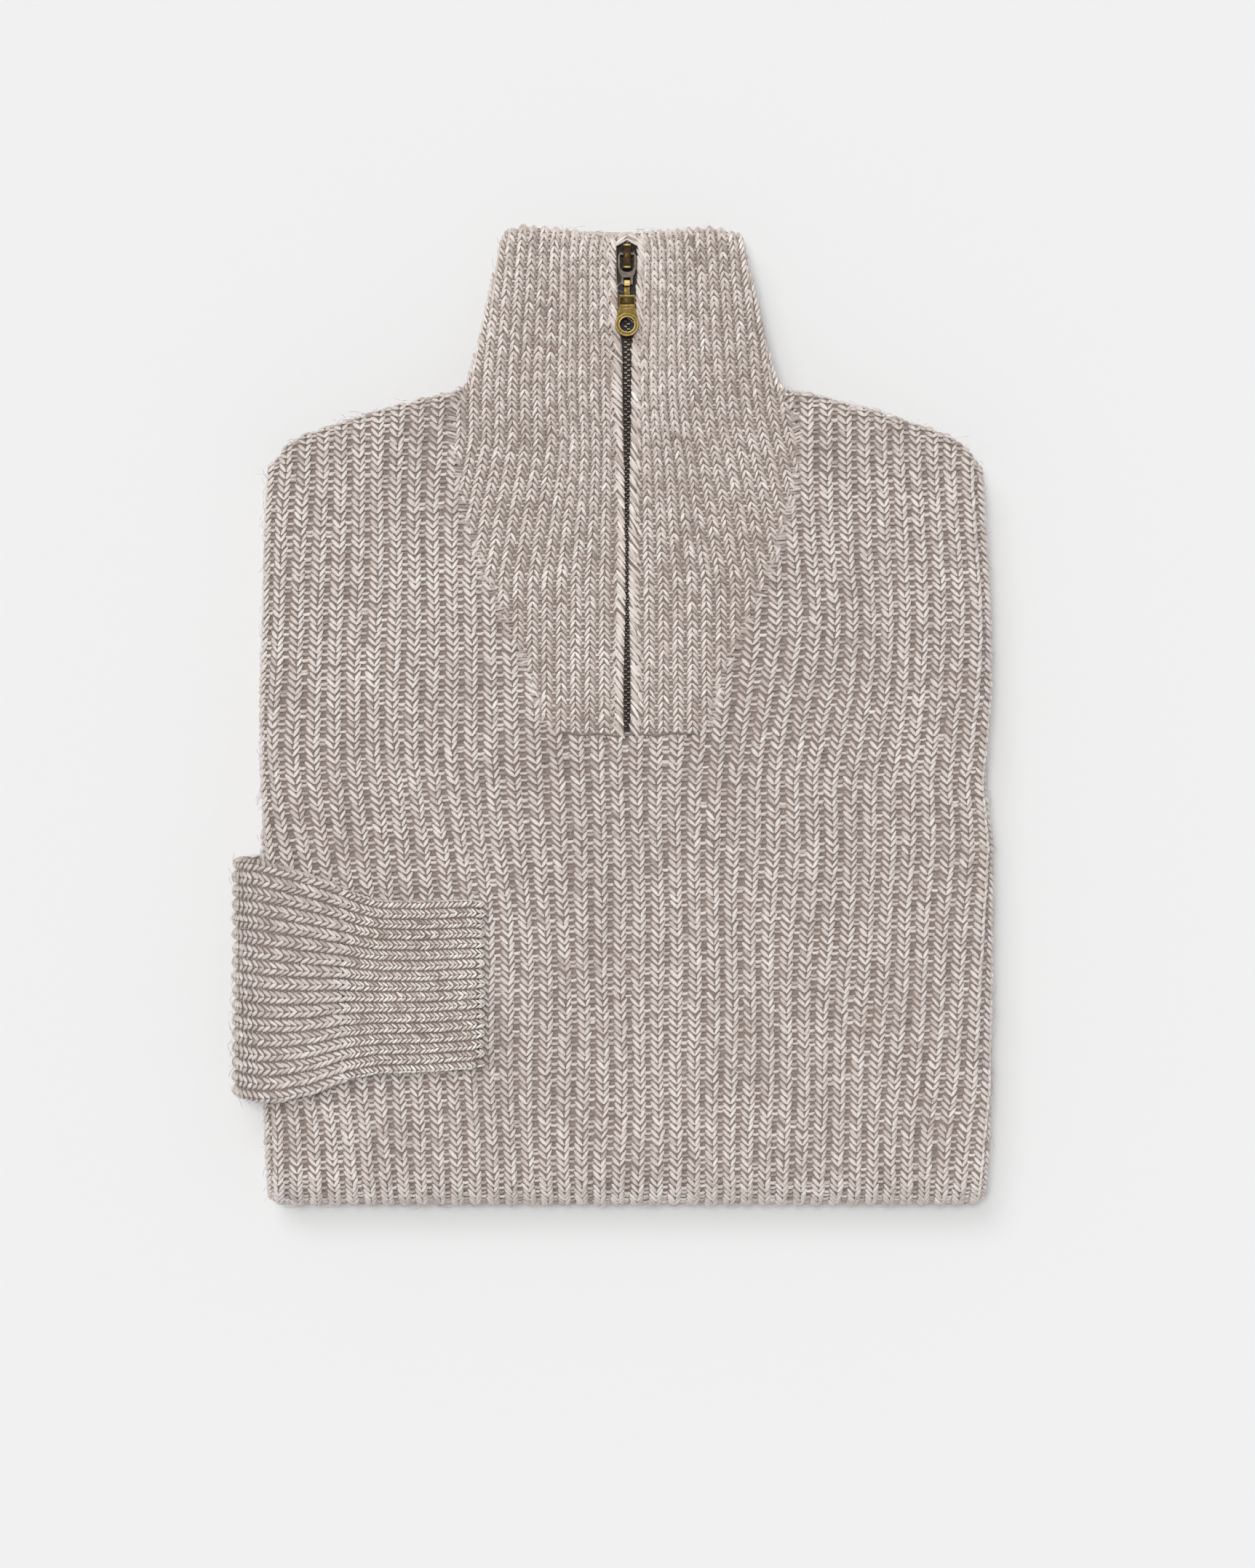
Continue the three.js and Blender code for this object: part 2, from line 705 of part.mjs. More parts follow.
// The back half of the collar, its sides rounded to meet the front halves.
function collarBack() {
  const rings = [];
  const shares = [0, 0.12, 0.3, 0.5, 0.7, 0.86, 0.95, 1];
  const footY = neckY + 0.5;
  const points = 24;
  for (const share of shares) {
    const closing = share > 0.9 ? (share - 0.9) * 22 : 0;
    const ring = [];
    const place = (t, under) => {
      const guide = footY + share * (257.5 - footY);
      const half = bibHalf(guide) - 0.4;
      const x = shiftAt(guide) + half * t;
      const y = footY + share * (topEdgeY(x) - 1.4 - footY);
      const toSide = half * (1 - Math.abs(t));
      const rounded = rollDrop(clamp(toSide, 0, collarEdgeRoll));
      const top = packHeight - collarWall - seamGap - droop(y);
      return [x, y, under ? top - collarWall + Math.min(rounded + closing, collarWall - 0.4) : top];
    };
    for (let i = 0; i <= points; i += 1) {
      const t = -Math.cos((i / points) * Math.PI);
      ring.push(place(t, true));
    }
    for (const t of [0.8, 0.4, 0, -0.4, -0.8]) ring.push(place(t, false));
    rings.push(ring);
  }
  return ringSolid(rings);
}

// Zip parts lie on a line that is level on the bib and slopes down along the collar.
function zipStrip(name, halfWidth, low, high, foot, head, material) {
  const slopeY = (y) => -droop(y);
  const profile = [foot, neckY, head].map((y) => [y, tapeTop + low + slopeY(y)]);
  const upper = [head, neckY, foot].map((y) => [y, tapeTop + high + slopeY(y)]);
  const shape = new THREE.Shape([...profile, ...upper].map(([y, z]) => new THREE.Vector2(y, z)));
  const geometry = new THREE.ExtrudeGeometry(shape, { depth: 2 * halfWidth, bevelEnabled: false });
  // The profile's x, y, z become the zip's y, z, x.
  const turn = new THREE.Matrix4().makeBasis(
    new THREE.Vector3(0, 1, 0),
    new THREE.Vector3(0, 0, 1),
    new THREE.Vector3(1, 0, 0),
  );
  geometry.applyMatrix4(turn);
  geometry.translate(-halfWidth, 0, 0);
  return named(name, geometry, material);
}

// A flat plate in the collar's plane: outline in x and y along the collar, holes, low and high.
function plate(name, outline, holes, low, high, material) {
  const shape = new THREE.Shape(outline);
  shape.holes = holes;
  const geometry = new THREE.ExtrudeGeometry(shape, { depth: high - low, bevelEnabled: false, curveSegments: 5 });
  geometry.translate(0, 0, low);
  return named(name, geometry, material);
}

function roundHole(x, y, radius) {
  const hole = new THREE.Path();
  hole.absarc(x, y, radius, 0, 2 * Math.PI, true);
  return hole;
}

function slotHole(halfWidth, low, high, radius) {
  const hole = new THREE.Path();
  hole.moveTo(-halfWidth, high);
  hole.lineTo(halfWidth, high);
  hole.lineTo(halfWidth, low + radius);
  hole.absarc(halfWidth - radius, low + radius, radius, 0, -Math.PI / 2, true);
  hole.lineTo(radius - halfWidth, low);
  hole.absarc(radius - halfWidth, low + radius, radius, -Math.PI / 2, -Math.PI, true);
  hole.closePath();
  return hole;
}

const v2 = (x, y) => new THREE.Vector2(x, y);

// The slider's body with its bridge, in the collar's plane.
function slider() {
  const body = new THREE.Shape([
    v2(-2.9, sliderFoot), v2(2.9, sliderFoot), v2(4.3, sliderFoot + 5), v2(4.3, sliderTop - 3.8),
    v2(3.6, sliderTop - 1.6), v2(2.1, sliderTop), v2(-2.1, sliderTop), v2(-3.6, sliderTop - 1.6),
    v2(-4.3, sliderTop - 3.8), v2(-4.3, sliderFoot + 5),
  ]);
  const base = new THREE.ExtrudeGeometry(body, { depth: 2.7, bevelEnabled: false });
  base.translate(0, 0, 0.3);
  const side = new THREE.Shape([
    v2(sliderFoot + 0.4, 2.5), v2(sliderFoot + 1.9, 2.5), v2(sliderFoot + 1.9, 5.3),
    v2(sliderTop - 2.1, 5.3), v2(sliderTop - 2.1, 2.5), v2(sliderTop - 0.6, 2.5),
    v2(sliderTop - 0.6, 5.6), v2(sliderTop - 1.4, 6.4), v2(sliderFoot + 1.2, 6.4), v2(sliderFoot + 0.4, 5.6),
  ]);
  const bridge = new THREE.ExtrudeGeometry(side, { depth: 3.4, bevelEnabled: false });
  bridge.applyMatrix4(new THREE.Matrix4().makeBasis(
    new THREE.Vector3(0, 1, 0),
    new THREE.Vector3(0, 0, 1),
    new THREE.Vector3(1, 0, 0),
  ));
  bridge.translate(-1.7, 0, 0);
  return named('zip_slider', fromManifold(toManifold(base).add(toManifold(bridge))), darkBronze);
}

// The pull's plate hangs on the slider's bridge by the bar above its window.
const plateBarY = 60.2;
const plateLow = 3.6;
const plateHigh = 4.8;
const linkBarY = 46.6;
const linkRadius = 1.75;

function pullPlate() {
  const outline = [
    v2(-3.3, plateBarY + 0.6), v2(-4.2, plateBarY - 1.2), v2(-4.3, plateBarY - 6), v2(-3.5, plateBarY - 9),
    v2(-2.7, plateBarY - 10.6), v2(-2.6, linkBarY - 0.6), v2(2.6, linkBarY - 0.6), v2(2.7, plateBarY - 10.6),
    v2(3.5, plateBarY - 9), v2(4.3, plateBarY - 6), v2(4.2, plateBarY - 1.2), v2(3.3, plateBarY + 0.6),
  ];
  const window = slotHole(3.2, plateBarY - 8.4, plateBarY - 0.6, 2.8);
  const eye = slotHole(1.6, linkBarY + 0.6, linkBarY + 2.6, 0.5);
  return plate('pull_plate', outline, [window, eye], plateLow, plateHigh, darkBronze);
}

// A small closed loop round the plate's lower bar.
function pullLink() {
  const [hole, half] = [1.05, 1.3];
  const profile = [v2(hole, -half), v2(linkRadius, -half), v2(linkRadius, half), v2(hole, half), v2(hole, -half)];
  const geometry = new THREE.LatheGeometry(profile, 16);
  geometry.rotateZ(Math.PI / 2);
  geometry.translate(0, linkBarY, (plateLow + plateHigh) / 2);
  return named('pull_link', geometry, brightBrass);
}

// A round ring with a square block above it and a thin stem up to the link.
function pullTab() {
  const ringY = 27.3;
  const ringRadius = 5.45;
  const ring = { low: 4.9, thick: 1.4 };
  const block = { half: 3.65, length: 5.4, low: 4.1, thick: 2.2 };
  const stem = { width: 2.4, low: 4.1, thick: 1.2 };
  const blockFoot = 35.6;
  const from = THREE.MathUtils.degToRad(152);
  const to = THREE.MathUtils.degToRad(28);
  const arc = new THREE.Shape();
  arc.moveTo(block.half, blockFoot);
  arc.lineTo(-block.half, blockFoot);
  arc.lineTo(ringRadius * Math.cos(from), ringY + ringRadius * Math.sin(from));
  arc.absarc(0, ringY, ringRadius, from, to + 2 * Math.PI, false);
  arc.closePath();
  arc.holes = [roundHole(0, ringY, 3.3)];
  const flat = new THREE.ExtrudeGeometry(arc, { depth: ring.thick, bevelEnabled: false, curveSegments: 14 });
  flat.translate(0, 0, ring.low);
  const square = new THREE.BoxGeometry(2 * block.half, block.length, block.thick);
  square.translate(0, blockFoot + block.length / 2 - 0.1, block.low + block.thick / 2);
  const stemTop = linkBarY - linkRadius - seamGap;
  const rod = new THREE.BoxGeometry(stem.width, stemTop - blockFoot, stem.thick);
  rod.translate(0, (stemTop + blockFoot) / 2, stem.low + stem.thick / 2);
  const solid = toManifold(flat).add(toManifold(square)).add(toManifold(rod));
  return named('pull_tab', fromManifold(solid), oldBrass);
}

function stop(name, x, y) {
  const geometry = new THREE.BoxGeometry(1.4, 2.4, 1.6);
  geometry.translate(x, y, 1.1);
  return named(name, geometry, darkBronze);
}

const sweater = new THREE.Group();
const front = frontPanels();
sweater.add(named('front_panel', front.upper, bodyWool));
sweater.add(named('front_panel_under', front.under, bodyWool));
sweater.add(named('back_panel', backPanel(), bodyWool));
sweater.add(named('folded_layers', foldedLayers(), innerWool));
sweater.add(named('sleeve_left', pressedSleeve(1, -150, 134), bodyWool));
sweater.add(named('sleeve_right_top', pressedSleeve(-1, -22.5, 134), bodyWool));
sweater.add(named('sleeve_right', flatTube(sleeveStations, sleeveRibs, sleeveRibHeight), bodyWool));
sweater.add(named('cuff_right', flatTube(cuffStations, sleeveRibs, sleeveRibHeight), bodyWool));
sweater.add(named('collar_front_left', collarFront(-1), collarWool));
sweater.add(named('collar_front_right', collarFront(1), collarWool));
sweater.add(named('collar_back', collarBack(), collarWool));
sweater.add(zipStrip('zip_tape', tapeHalf, -tapeThick, 0, chainFoot - 2, tapeHead, zipTapeGrey));
sweater.add(zipStrip('zip_chain', chainHalf, chainLow, chainHigh, chainFoot, neckY + sliderFoot - 1, darkBronze));

// The slider and pull lie in the collar's plane, whose y starts at the neck.
const collarPlane = new THREE.Group();
collarPlane.position.set(0, neckY, tapeTop);
collarPlane.rotation.x = -Math.atan(collarDroop);
collarPlane.add(slider(), pullPlate(), pullLink(), pullTab());
collarPlane.add(stop('top_stop_left', -1.5, sliderTop + 1.7), stop('top_stop_right', 1.5, sliderTop + 1.7));
sweater.add(collarPlane);

export default sweater;
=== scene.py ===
# Folded chunky rib sweater with a quarter zip, dressed around its frame.
# Forms are worked out in millimetres, as a knitter would measure them, and made in metres.

import math
from functools import partial

import bmesh
import bpy
import numpy as np
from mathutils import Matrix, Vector


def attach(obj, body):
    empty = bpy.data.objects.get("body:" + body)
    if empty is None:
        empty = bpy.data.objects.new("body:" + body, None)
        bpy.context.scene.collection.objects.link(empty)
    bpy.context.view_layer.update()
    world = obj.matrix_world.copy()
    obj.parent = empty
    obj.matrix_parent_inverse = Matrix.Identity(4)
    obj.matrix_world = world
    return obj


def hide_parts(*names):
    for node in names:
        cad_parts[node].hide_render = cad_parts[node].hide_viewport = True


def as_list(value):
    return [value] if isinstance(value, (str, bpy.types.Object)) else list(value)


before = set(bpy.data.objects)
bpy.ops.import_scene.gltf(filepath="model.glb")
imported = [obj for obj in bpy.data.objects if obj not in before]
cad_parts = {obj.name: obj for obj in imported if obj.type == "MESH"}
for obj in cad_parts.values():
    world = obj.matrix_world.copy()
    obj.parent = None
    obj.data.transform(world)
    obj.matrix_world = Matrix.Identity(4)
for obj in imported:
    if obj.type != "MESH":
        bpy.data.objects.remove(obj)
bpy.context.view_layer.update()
mm = 0.001
print("frame loaded:", len(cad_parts), "nodes")

# The packet: what every piece is worked out from
pack = {
    "height": 38.3,
    "half": 165.5,
    "foldY": -165.5,
    "hemY": 148.0,
    "lipCorner": 9.0,
    "lipRoll": 6.0,
    "shoulderRoll": 8.0,
    "foldCorner": 0.6,
    "wall": 3.0,
    "neckY": 188.0,
    "droop": 0.1,
    "shift": -2.3,
    "bibWall": 2.7,
    "collarWall": 6.3,
}
foldRadius = pack["height"] / 2
flatHalf = pack["half"] - pack["lipCorner"]
lipDepth = pack["lipCorner"] + pack["lipRoll"]
lipArc = lipDepth * math.pi / 2
tapeTop = pack["height"] - pack["bibWall"] - 0.2

# Outlines up the front: half widths of the bib and of the zip's opening, then edges seen from above
bibOutline = {
    "y": [29.4, 30.4, 33.5, 39, 46, 56, 79, 103, 119, 132, 147, 163, 176, 184, 191, 211, 231, 244, 251, 257,
          262],
    "half": [27, 32, 36.5, 39.4, 41.4, 43.5, 54, 65, 70, 74, 76.7, 78.6, 77.6, 73.2, 70, 64.7, 60.2, 57.2,
             56.5, 54.4, 51],
}
bibFoot = bibOutline["y"][0]
zipOpening = {
    "y": [29.4, 33, 60, 82, 100, 119, 150, 178, 205, 217, 222, 233, 237, 252.8, 255, 257, 262],
    "half": [1.0, 1.5, 1.4, 0.8, 0.6, 0.7, 1.2, 1.9, 2.1, 3.7, 3.9, 4.0, 4.6, 4.8, 2.9, 0.7, 0.3],
    "plain": 2.1,
}
collarTop = {
    "x": [-60, -47, -30, -13, 0, 22, 40, 52, 60],
    "y": [258.1, 261.9, 260.4, 257.4, 258.2, 260.0, 261.1, 257.8, 254.6],
}
shoulderLine = {
    "u": [0, 71, 92, 114, 134, 150, 157, 163, 170, 181],
    "y": [188, 188, 183.5, 178, 171.6, 166, 161.5, 155, 149, 145],
}
sideEdges = {
    "y": [-190, -165, -135, -20, 8, 46, 90, 132, 152, 190],
    "left": [162.6, 163.6, 165, 165.8, 166, 166.6, 165.6, 164.6, 163.4, 162],
    "right": [162.4, 163.8, 165.6, 166, 162.8, 165.6, 165, 162.4, 161.4, 161],
}


def smooth(t):
    t = np.clip(t, 0, 1)
    return t * t * (3 - 2 * t)


def bibHalf(y):
    return np.interp(y, bibOutline["y"], bibOutline["half"])


def zipHalf(y):
    return np.interp(y, zipOpening["y"], zipOpening["half"])


def topEdge(x):
    return np.interp(x, collarTop["x"], collarTop["y"])


def shoulderY(u):
    return np.interp(np.abs(u), shoulderLine["u"], shoulderLine["y"])


# How far the middle of the bib and collar leans to one side
def shiftAt(y):
    return pack["shift"] * smooth((np.asarray(y) - 150) / 40)


def droop(y):
    return np.maximum(np.asarray(y) - pack["neckY"], 0) * pack["droop"]


# Where the bib turns into the free collar: 0 below, 1 above
def freeCollar(y):
    return smooth((y - 182) / 8)


# How far round the side edge a place lies: 0 on the flat, 1 at the lip's end
def roundSide(u):
    return np.clip((np.abs(u) - flatHalf) / lipArc, 0, 1)


# The roll of the shoulder edge tightens towards the sides
def shoulderRollAt(deep):
    return pack["shoulderRoll"] * (1 - 0.75 * deep)


def sideScale(x, y):
    left = np.interp(y, sideEdges["y"], sideEdges["left"])
    right = np.interp(y, sideEdges["y"], sideEdges["right"])
    return np.where(x < 0, left, right) / pack["half"]


# The low swell of the folded knit, as in the frame
def swell(x, y):
    besideZip = smooth((np.abs(x) - 12) / 30)
    besideSleeve = 1 - smooth((-45 - x) / 20) * smooth(-y / 20)
    wave = 0.7 * np.sin(x / 31 + 0.6) * np.sin(y / 47 + 1.1) + 0.4 * np.sin((x + y) / 23)
    return besideZip * besideSleeve * wave


# Soft troughs pressed into the cloth: from one end to the other, width, depth
creases = [
    {"from": (-36, 258), "to": (-21, 205), "wide": 9, "deep": 1.6},
    {"from": (-70, 150), "to": (-122, 118), "wide": 11, "deep": 0.9},
    {"from": (84, 160), "to": (128, 96), "wide": 12, "deep": 0.8},
    {"from": (40, 10), "to": (66, -120), "wide": 13, "deep": 0.7},
    {"from": (-20, -30), "to": (-34, -140), "wide": 12, "deep": 0.7},
    {"from": (118, -20), "to": (136, -150), "wide": 11, "deep": 0.8},
    {"from": (-140, 60), "to": (-150, 0), "wide": 10, "deep": 0.8},
]


def creaseDepth(x, y):
    total = np.zeros(np.broadcast(x, y).shape)
    for c in creases:
        (ax, ay), (bx, by) = c["from"], c["to"]
        run = math.hypot(bx - ax, by - ay)
        dx, dy = (bx - ax) / run, (by - ay) / run
        along = (x - ax) * dx + (y - ay) * dy
        off = (x - ax) * -dy + (y - ay) * dx
        fade = smooth((along + 8) / 16) * smooth((run + 8 - along) / 16)
        total = total + c["deep"] * fade * np.exp(-((off / c["wide"]) ** 2))
    return total


# A place on the front panel: u across, s along from the fold line, h out of the cloth
def frontPlace(u, s, h):
    u, s, h = np.broadcast_arrays(np.asarray(u, float), np.asarray(s, float), np.asarray(h, float))
    corner, rollR = pack["lipCorner"], pack["lipRoll"]
    over = np.abs(u) - flatHalf
    side = np.sign(u)
    a1 = np.clip(over / corner, 0, math.pi / 2)
    a2 = np.clip((over - corner * math.pi / 2) / rollR, 0, math.pi / 2)
    x1 = side * (flatHalf + (corner + h) * np.sin(a1))
    d1 = corner - (corner + h) * np.cos(a1)
    x2 = side * (pack["half"] - rollR + (rollR + h) * np.cos(a2))
    d2 = corner + (rollR + h) * np.sin(a2)
    onFlat, onCorner = over <= 0, over <= corner * math.pi / 2
    x = np.where(onFlat, u, np.where(onCorner, x1, x2))
    depth = np.where(onFlat, -h, np.where(onCorner, d1, d2))
    deep = np.clip(depth / lipDepth, 0, 1)
    sunk = np.where(onCorner, corner * (1 - np.cos(a1)), corner + rollR * np.sin(a2))
    roll = shoulderRollAt(deep)
    highY = shoulderY(u) - roll
    highS = highY - pack["foldY"]
    turn = np.clip((s - highS) / roll, 0, 1.75)
    bend = np.clip(-s / foldRadius, 0, math.pi)
    r = foldRadius - depth
    yTop = pack["foldY"] + s
    share = (highY - yTop) / highS
    calm = smooth(share / 0.09) * smooth((1 - share) / 0.1) * (1 - deep)
    zTop = pack["height"] - depth + (swell(x, yTop) - creaseDepth(x, yTop)) * calm
    y = np.where(s > highS, highY + (roll + h) * np.sin(turn), yTop)
    z = np.where(s > highS, pack["height"] - depth - (roll + h) * (1 - np.cos(turn)), zTop)
    y = np.where(s < 0, pack["foldY"] - (r + pack["foldCorner"] * sunk) * np.sin(bend), y)
    z = np.where(s < 0, foldRadius + r * np.cos(bend), z)
    under = s < -math.pi * foldRadius
    y = np.where(under, pack["foldY"] - s - math.pi * foldRadius, y)
    z = np.where(under, depth, z)
    return np.stack([x * sideScale(x, y), y, z], axis=-1)


# Rib pitch up the bib and collar, of the six ribs next to the zip and of those further out
collarRib = {
    "y": [29, 100, 130, 165, 200, 262],
    "inner": [6.55, 6.5, 5.7, 4.75, 4.6, 4.2],
    "outer": [6.6, 6.6, 6.4, 5.9, 5.6, 5.0],
    "innerRibs": 6,
    "beside": 6.2,
    "edgeRoll": 6.1,
}


def collarX(side, k, y):
    inner = np.interp(y, collarRib["y"], collarRib["inner"])
    outer = np.interp(y, collarRib["y"], collarRib["outer"])
    first = np.maximum(inner, collarRib["beside"]) * np.minimum(k, 1)
    last = collarRib["innerRibs"]
    run = first + inner * np.clip(k - 1, 0, last - 1) + outer * np.maximum(k - last, 0)
    apart = np.maximum(zipHalf(y) - zipOpening["plain"], 0) * np.exp(-run / 14)
    return side * (run + apart) + shiftAt(y) * np.clip(k / 4, 0, 1)


# A place on the bib and collar: k counts ribs from the zip, side is -1 or 1.
# Above the neck the cloth rolls over at its side and top edges.
def collarPlace(side, k, y, h):
    k, y, h = np.broadcast_arrays(np.asarray(k, float), np.asarray(y, float), np.asarray(h, float))
    roll = collarRib["edgeRoll"]
    middle = shiftAt(y)
    x = collarX(side, k, y)
    fold = freeCollar(y)
    away = np.abs(x - middle)
    sideTurn = np.clip((away - bibHalf(y) + roll) / roll, 0, math.pi / 2)
    rolled = np.where(sideTurn > 0, bibHalf(y) - roll + roll * np.sin(sideTurn), away)
    sideTurn = sideTurn * fold
    away = away + (rolled - away) * fold + h * np.sin(sideTurn)
    x = np.where(np.abs(x) < 8, x, middle + np.sign(x - middle) * away)
    rim = topEdge(x) - roll
    topTurn = np.clip((y - rim) / roll, 0, math.pi / 2)
    yRolled = np.where(topTurn > 0, rim + (roll + h) * np.sin(topTurn), y)
    turn = np.minimum(np.hypot(sideTurn, topTurn), math.pi / 2)
    press = creaseDepth(x, y) * smooth((np.abs(x) - 10) / 8) * np.cos(turn)
    z = pack["height"] + swell(x, y) * (1 - fold) - droop(y) - roll * (1 - np.cos(turn)) - press
    return np.stack([x, yRolled, z + h * np.cos(turn)], axis=-1)


# Stations of the right sleeve and its cuff: a point on the inner face, its direction, the tube's edges
sleeveStations = {
    "x": [-122, -150, -159.5, -162.9, -165.5, -166.5, -165.3, -161.6, -156.5, -142, -128.5],
    "z": [22.8, 22.8, 22.7, 23.4, 25.8, 30.5, 34.4, 38.1, 39.0, 38.8, 38.8],
    "turn": [180, 180, 180, 150, 120, 90, 60, 30, 4, 0, 0],
    "thick": [7.0, 7.1, 7.2, 8.4, 11.2, 12.4, 11.8, 10.4, 9.6, 9.4, 9.4],
    "low": [-137.5, -138, -138, -138, -137, -135.4, -137.4, -138.6, -138, -134.6, -128.6],
    "high": [-24, -24, -24, -24, -24.8, -25.4, -25.6, -26.4, -28.6, -33, -38.6],
}
cuffStations = {
    "x": [-128.1, -121, -112, -92, -70, -67.6],
    "z": [38.8, 38.8, 38.8, 38.8, 38.8, 39.8],
    "turn": [0, 0, 0, 0, 0, 0],
    "thick": [9.4, 9.6, 9.6, 9.6, 9.2, 7.2],
    "low": [-128.5, -126.6, -124.8, -124.4, -122.8, -121.8],
    "high": [-38.8, -41.8, -44.4, -44.8, -44, -44.8],
    "endRoll": 2.4,
}


# How far along the tube's outer face each station lies
def stationRuns(stations):
    outer = [(x - math.sin(math.radians(t)) * w, z + math.cos(math.radians(t)) * w)
             for x, z, t, w in zip(*(stations[key] for key in ("x", "z", "turn", "thick")))]
    steps = [math.hypot(b[0] - a[0], b[1] - a[1]) for a, b in zip(outer, outer[1:])]
    return np.concatenate([[0], np.cumsum(steps)])


def stationAt(stations, run):
    runs = stationRuns(stations)
    return [np.interp(run, runs, stations[key]) for key in ("x", "z", "turn", "thick", "low", "high")]


# A place on a flattened tube: run along its outer face, t across from its low to its high edge
def tubePlace(stations, run, t, h):
    run, t, h = np.broadcast_arrays(np.asarray(run, float), np.asarray(t, float), np.asarray(h, float))
    x, z, turn, thick, low, high = stationAt(stations, run)
    angle = np.radians(turn)
    past = run - np.clip(run, 0, stationRuns(stations)[-1])
    y = low + (high - low) * t
    edge = np.minimum(y - low, high - y)
    rounding = np.minimum(thick / 2, 5)
    lack = np.clip(rounding - edge, 0, rounding)
    drop = rounding - np.sqrt(np.maximum(rounding**2 - lack**2, 0))
    off = thick - drop + h
    roll = stations.get("endRoll", 0)
    if roll:
        bend = np.clip(past / roll, 0, 1.9)
        off = off - (roll + h) * (1 - np.cos(bend))
        past = np.minimum(past, 0) + (roll + h) * np.sin(bend)
    y = y + h * np.where(t > 0.5, 1, -1) * lack / rounding
    x = x - np.sin(angle) * off + np.cos(angle) * past
    return np.stack([x, y, z + np.cos(angle) * off + np.sin(angle) * past], axis=-1)


# Height of a rib across its width, 0 in the gap and 1 on the wale
def ribHigh(at):
    middle = np.abs(np.mod(at, 1) - 0.56)
    middle = np.minimum(middle, 1 - middle)
    return smooth((0.44 - middle) / 0.17)


def newMesh(name, points, faces):
    mesh = bpy.data.meshes.new(name)
    mesh.from_pydata((np.asarray(points) * mm).tolist(), [], [list(map(int, f)) for f in faces])
    mesh.validate()
    piece = bpy.data.objects.new(name, mesh)
    bpy.context.scene.collection.objects.link(piece)
    return piece


# Merges doubles and turns the faces of a closed shell outwards
def outward(piece):
    shape = bmesh.new()
    shape.from_mesh(piece.data)
    bmesh.ops.remove_doubles(shape, verts=shape.verts, dist=1e-7)
    bmesh.ops.recalc_face_normals(shape, faces=shape.faces)
    shape.to_mesh(piece.data)
    shape.free()


def closedPiece(name, points, faces, material, rounded=True):
    piece = newMesh(name, points, faces)
    outward(piece)
    if rounded:
        piece.data.polygons.foreach_set("use_smooth", [True] * len(piece.data.polygons))
        piece.data.update()
    piece.data.materials.append(material)
    return piece


# Joins two edges of different point counts with a strip of triangles
def zipper(first, second):
    faces = []
    i = j = 0
    m, n = len(first) - 1, len(second) - 1
    while i < m or j < n:
        if j >= n or (i < m and (i + 0.5) / m <= (j + 0.5) / n):
            faces.append((first[i], first[i + 1], second[j]))
            i += 1
        else:
            faces.append((first[i], second[j + 1], second[j]))
            j += 1
    return faces


# A cloth wall between an outer grid and an inner grid of as many rows
def wallFaces(rows, m, n, start):
    faces = []
    for r in range(rows - 1):
        for c in range(m - 1):
            a = r * m + c
            faces.append((a, a + 1, a + m + 1, a + m))
        for c in range(n - 1):
            a = start + r * n + c
            faces.append((a, a + n, a + n + 1, a + 1))
        a, b, c, d = r * m, (r + 1) * m, start + r * n, start + (r + 1) * n
        faces.append((a, b, d, c))
        faces.append((a + m - 1, c + n - 1, d + n - 1, b + m - 1))
    first = zipper(list(range(m)), list(range(start, start + n)))
    last = zipper([(rows - 1) * m + c for c in range(m)], [start + (rows - 1) * n + c for c in range(n)])
    return faces + [(a, c, b) for a, b, c in first] + last


def wallPiece(name, outer, inner, material):
    rows, m = outer.shape[:2]
    n = inner.shape[1]
    points = np.concatenate([outer.reshape(-1, 3), inner.reshape(-1, 3)])
    return closedPiece(name, points, wallFaces(rows, m, n, rows * m), material)


# A solid through rings of as many points, closed at both ends
def ringPiece(name, rings, material):
    rings = np.asarray(rings)
    rows, n = rings.shape[:2]
    faces = []
    for r in range(rows - 1):
        for c in range(n):
            a, b = r * n + c, r * n + (c + 1) % n
            faces.append((a, b, b + n, a + n))
    faces.append(tuple(range(n))[::-1])
    faces.append(tuple((rows - 1) * n + c for c in range(n)))
    return closedPiece(name, rings.reshape(-1, 3), faces, material)


# Turns a piece with live modifiers into a plain mesh
def settle(piece):
    view = bpy.context.evaluated_depsgraph_get()
    done = bpy.data.meshes.new_from_object(piece.evaluated_get(view))
    piece.modifiers.clear()
    old = piece.data
    piece.data = done
    bpy.data.meshes.remove(old)
    return piece


# The bib's outline all round, a little larger by the given margin
def bibEdge(margin):
    def edge(side):
        return [(float(shiftAt(y)) + side * (float(bibHalf(y)) + margin), y - (margin if y == bibFoot else 0))
                for y in bibOutline["y"]]

    return edge(1) + edge(-1)[::-1]


# Cuts the space over an outline out of a piece
def cutWith(piece, outline, low, high):
    n = len(outline)
    points = [(x, y, low) for x, y in outline] + [(x, y, high) for x, y in outline]
    faces = [tuple(range(n))[::-1], tuple(range(n, 2 * n))]
    faces += [(i, (i + 1) % n, n + (i + 1) % n, n + i) for i in range(n)]
    cutter = newMesh("cutter", points, faces)
    outward(cutter)
    cut = piece.modifiers.new("cut", "BOOLEAN")
    cut.operation = "DIFFERENCE"
    cut.solver = "MANIFOLD"
    cut.object = cutter
    settle(piece)
    bpy.data.objects.remove(cutter)


def newMaterial(name):
    material = bpy.data.materials.new(name)
    material.use_nodes = True
    nodes = material.node_tree.nodes
    return material, nodes, material.node_tree.links, nodes["Principled BSDF"]


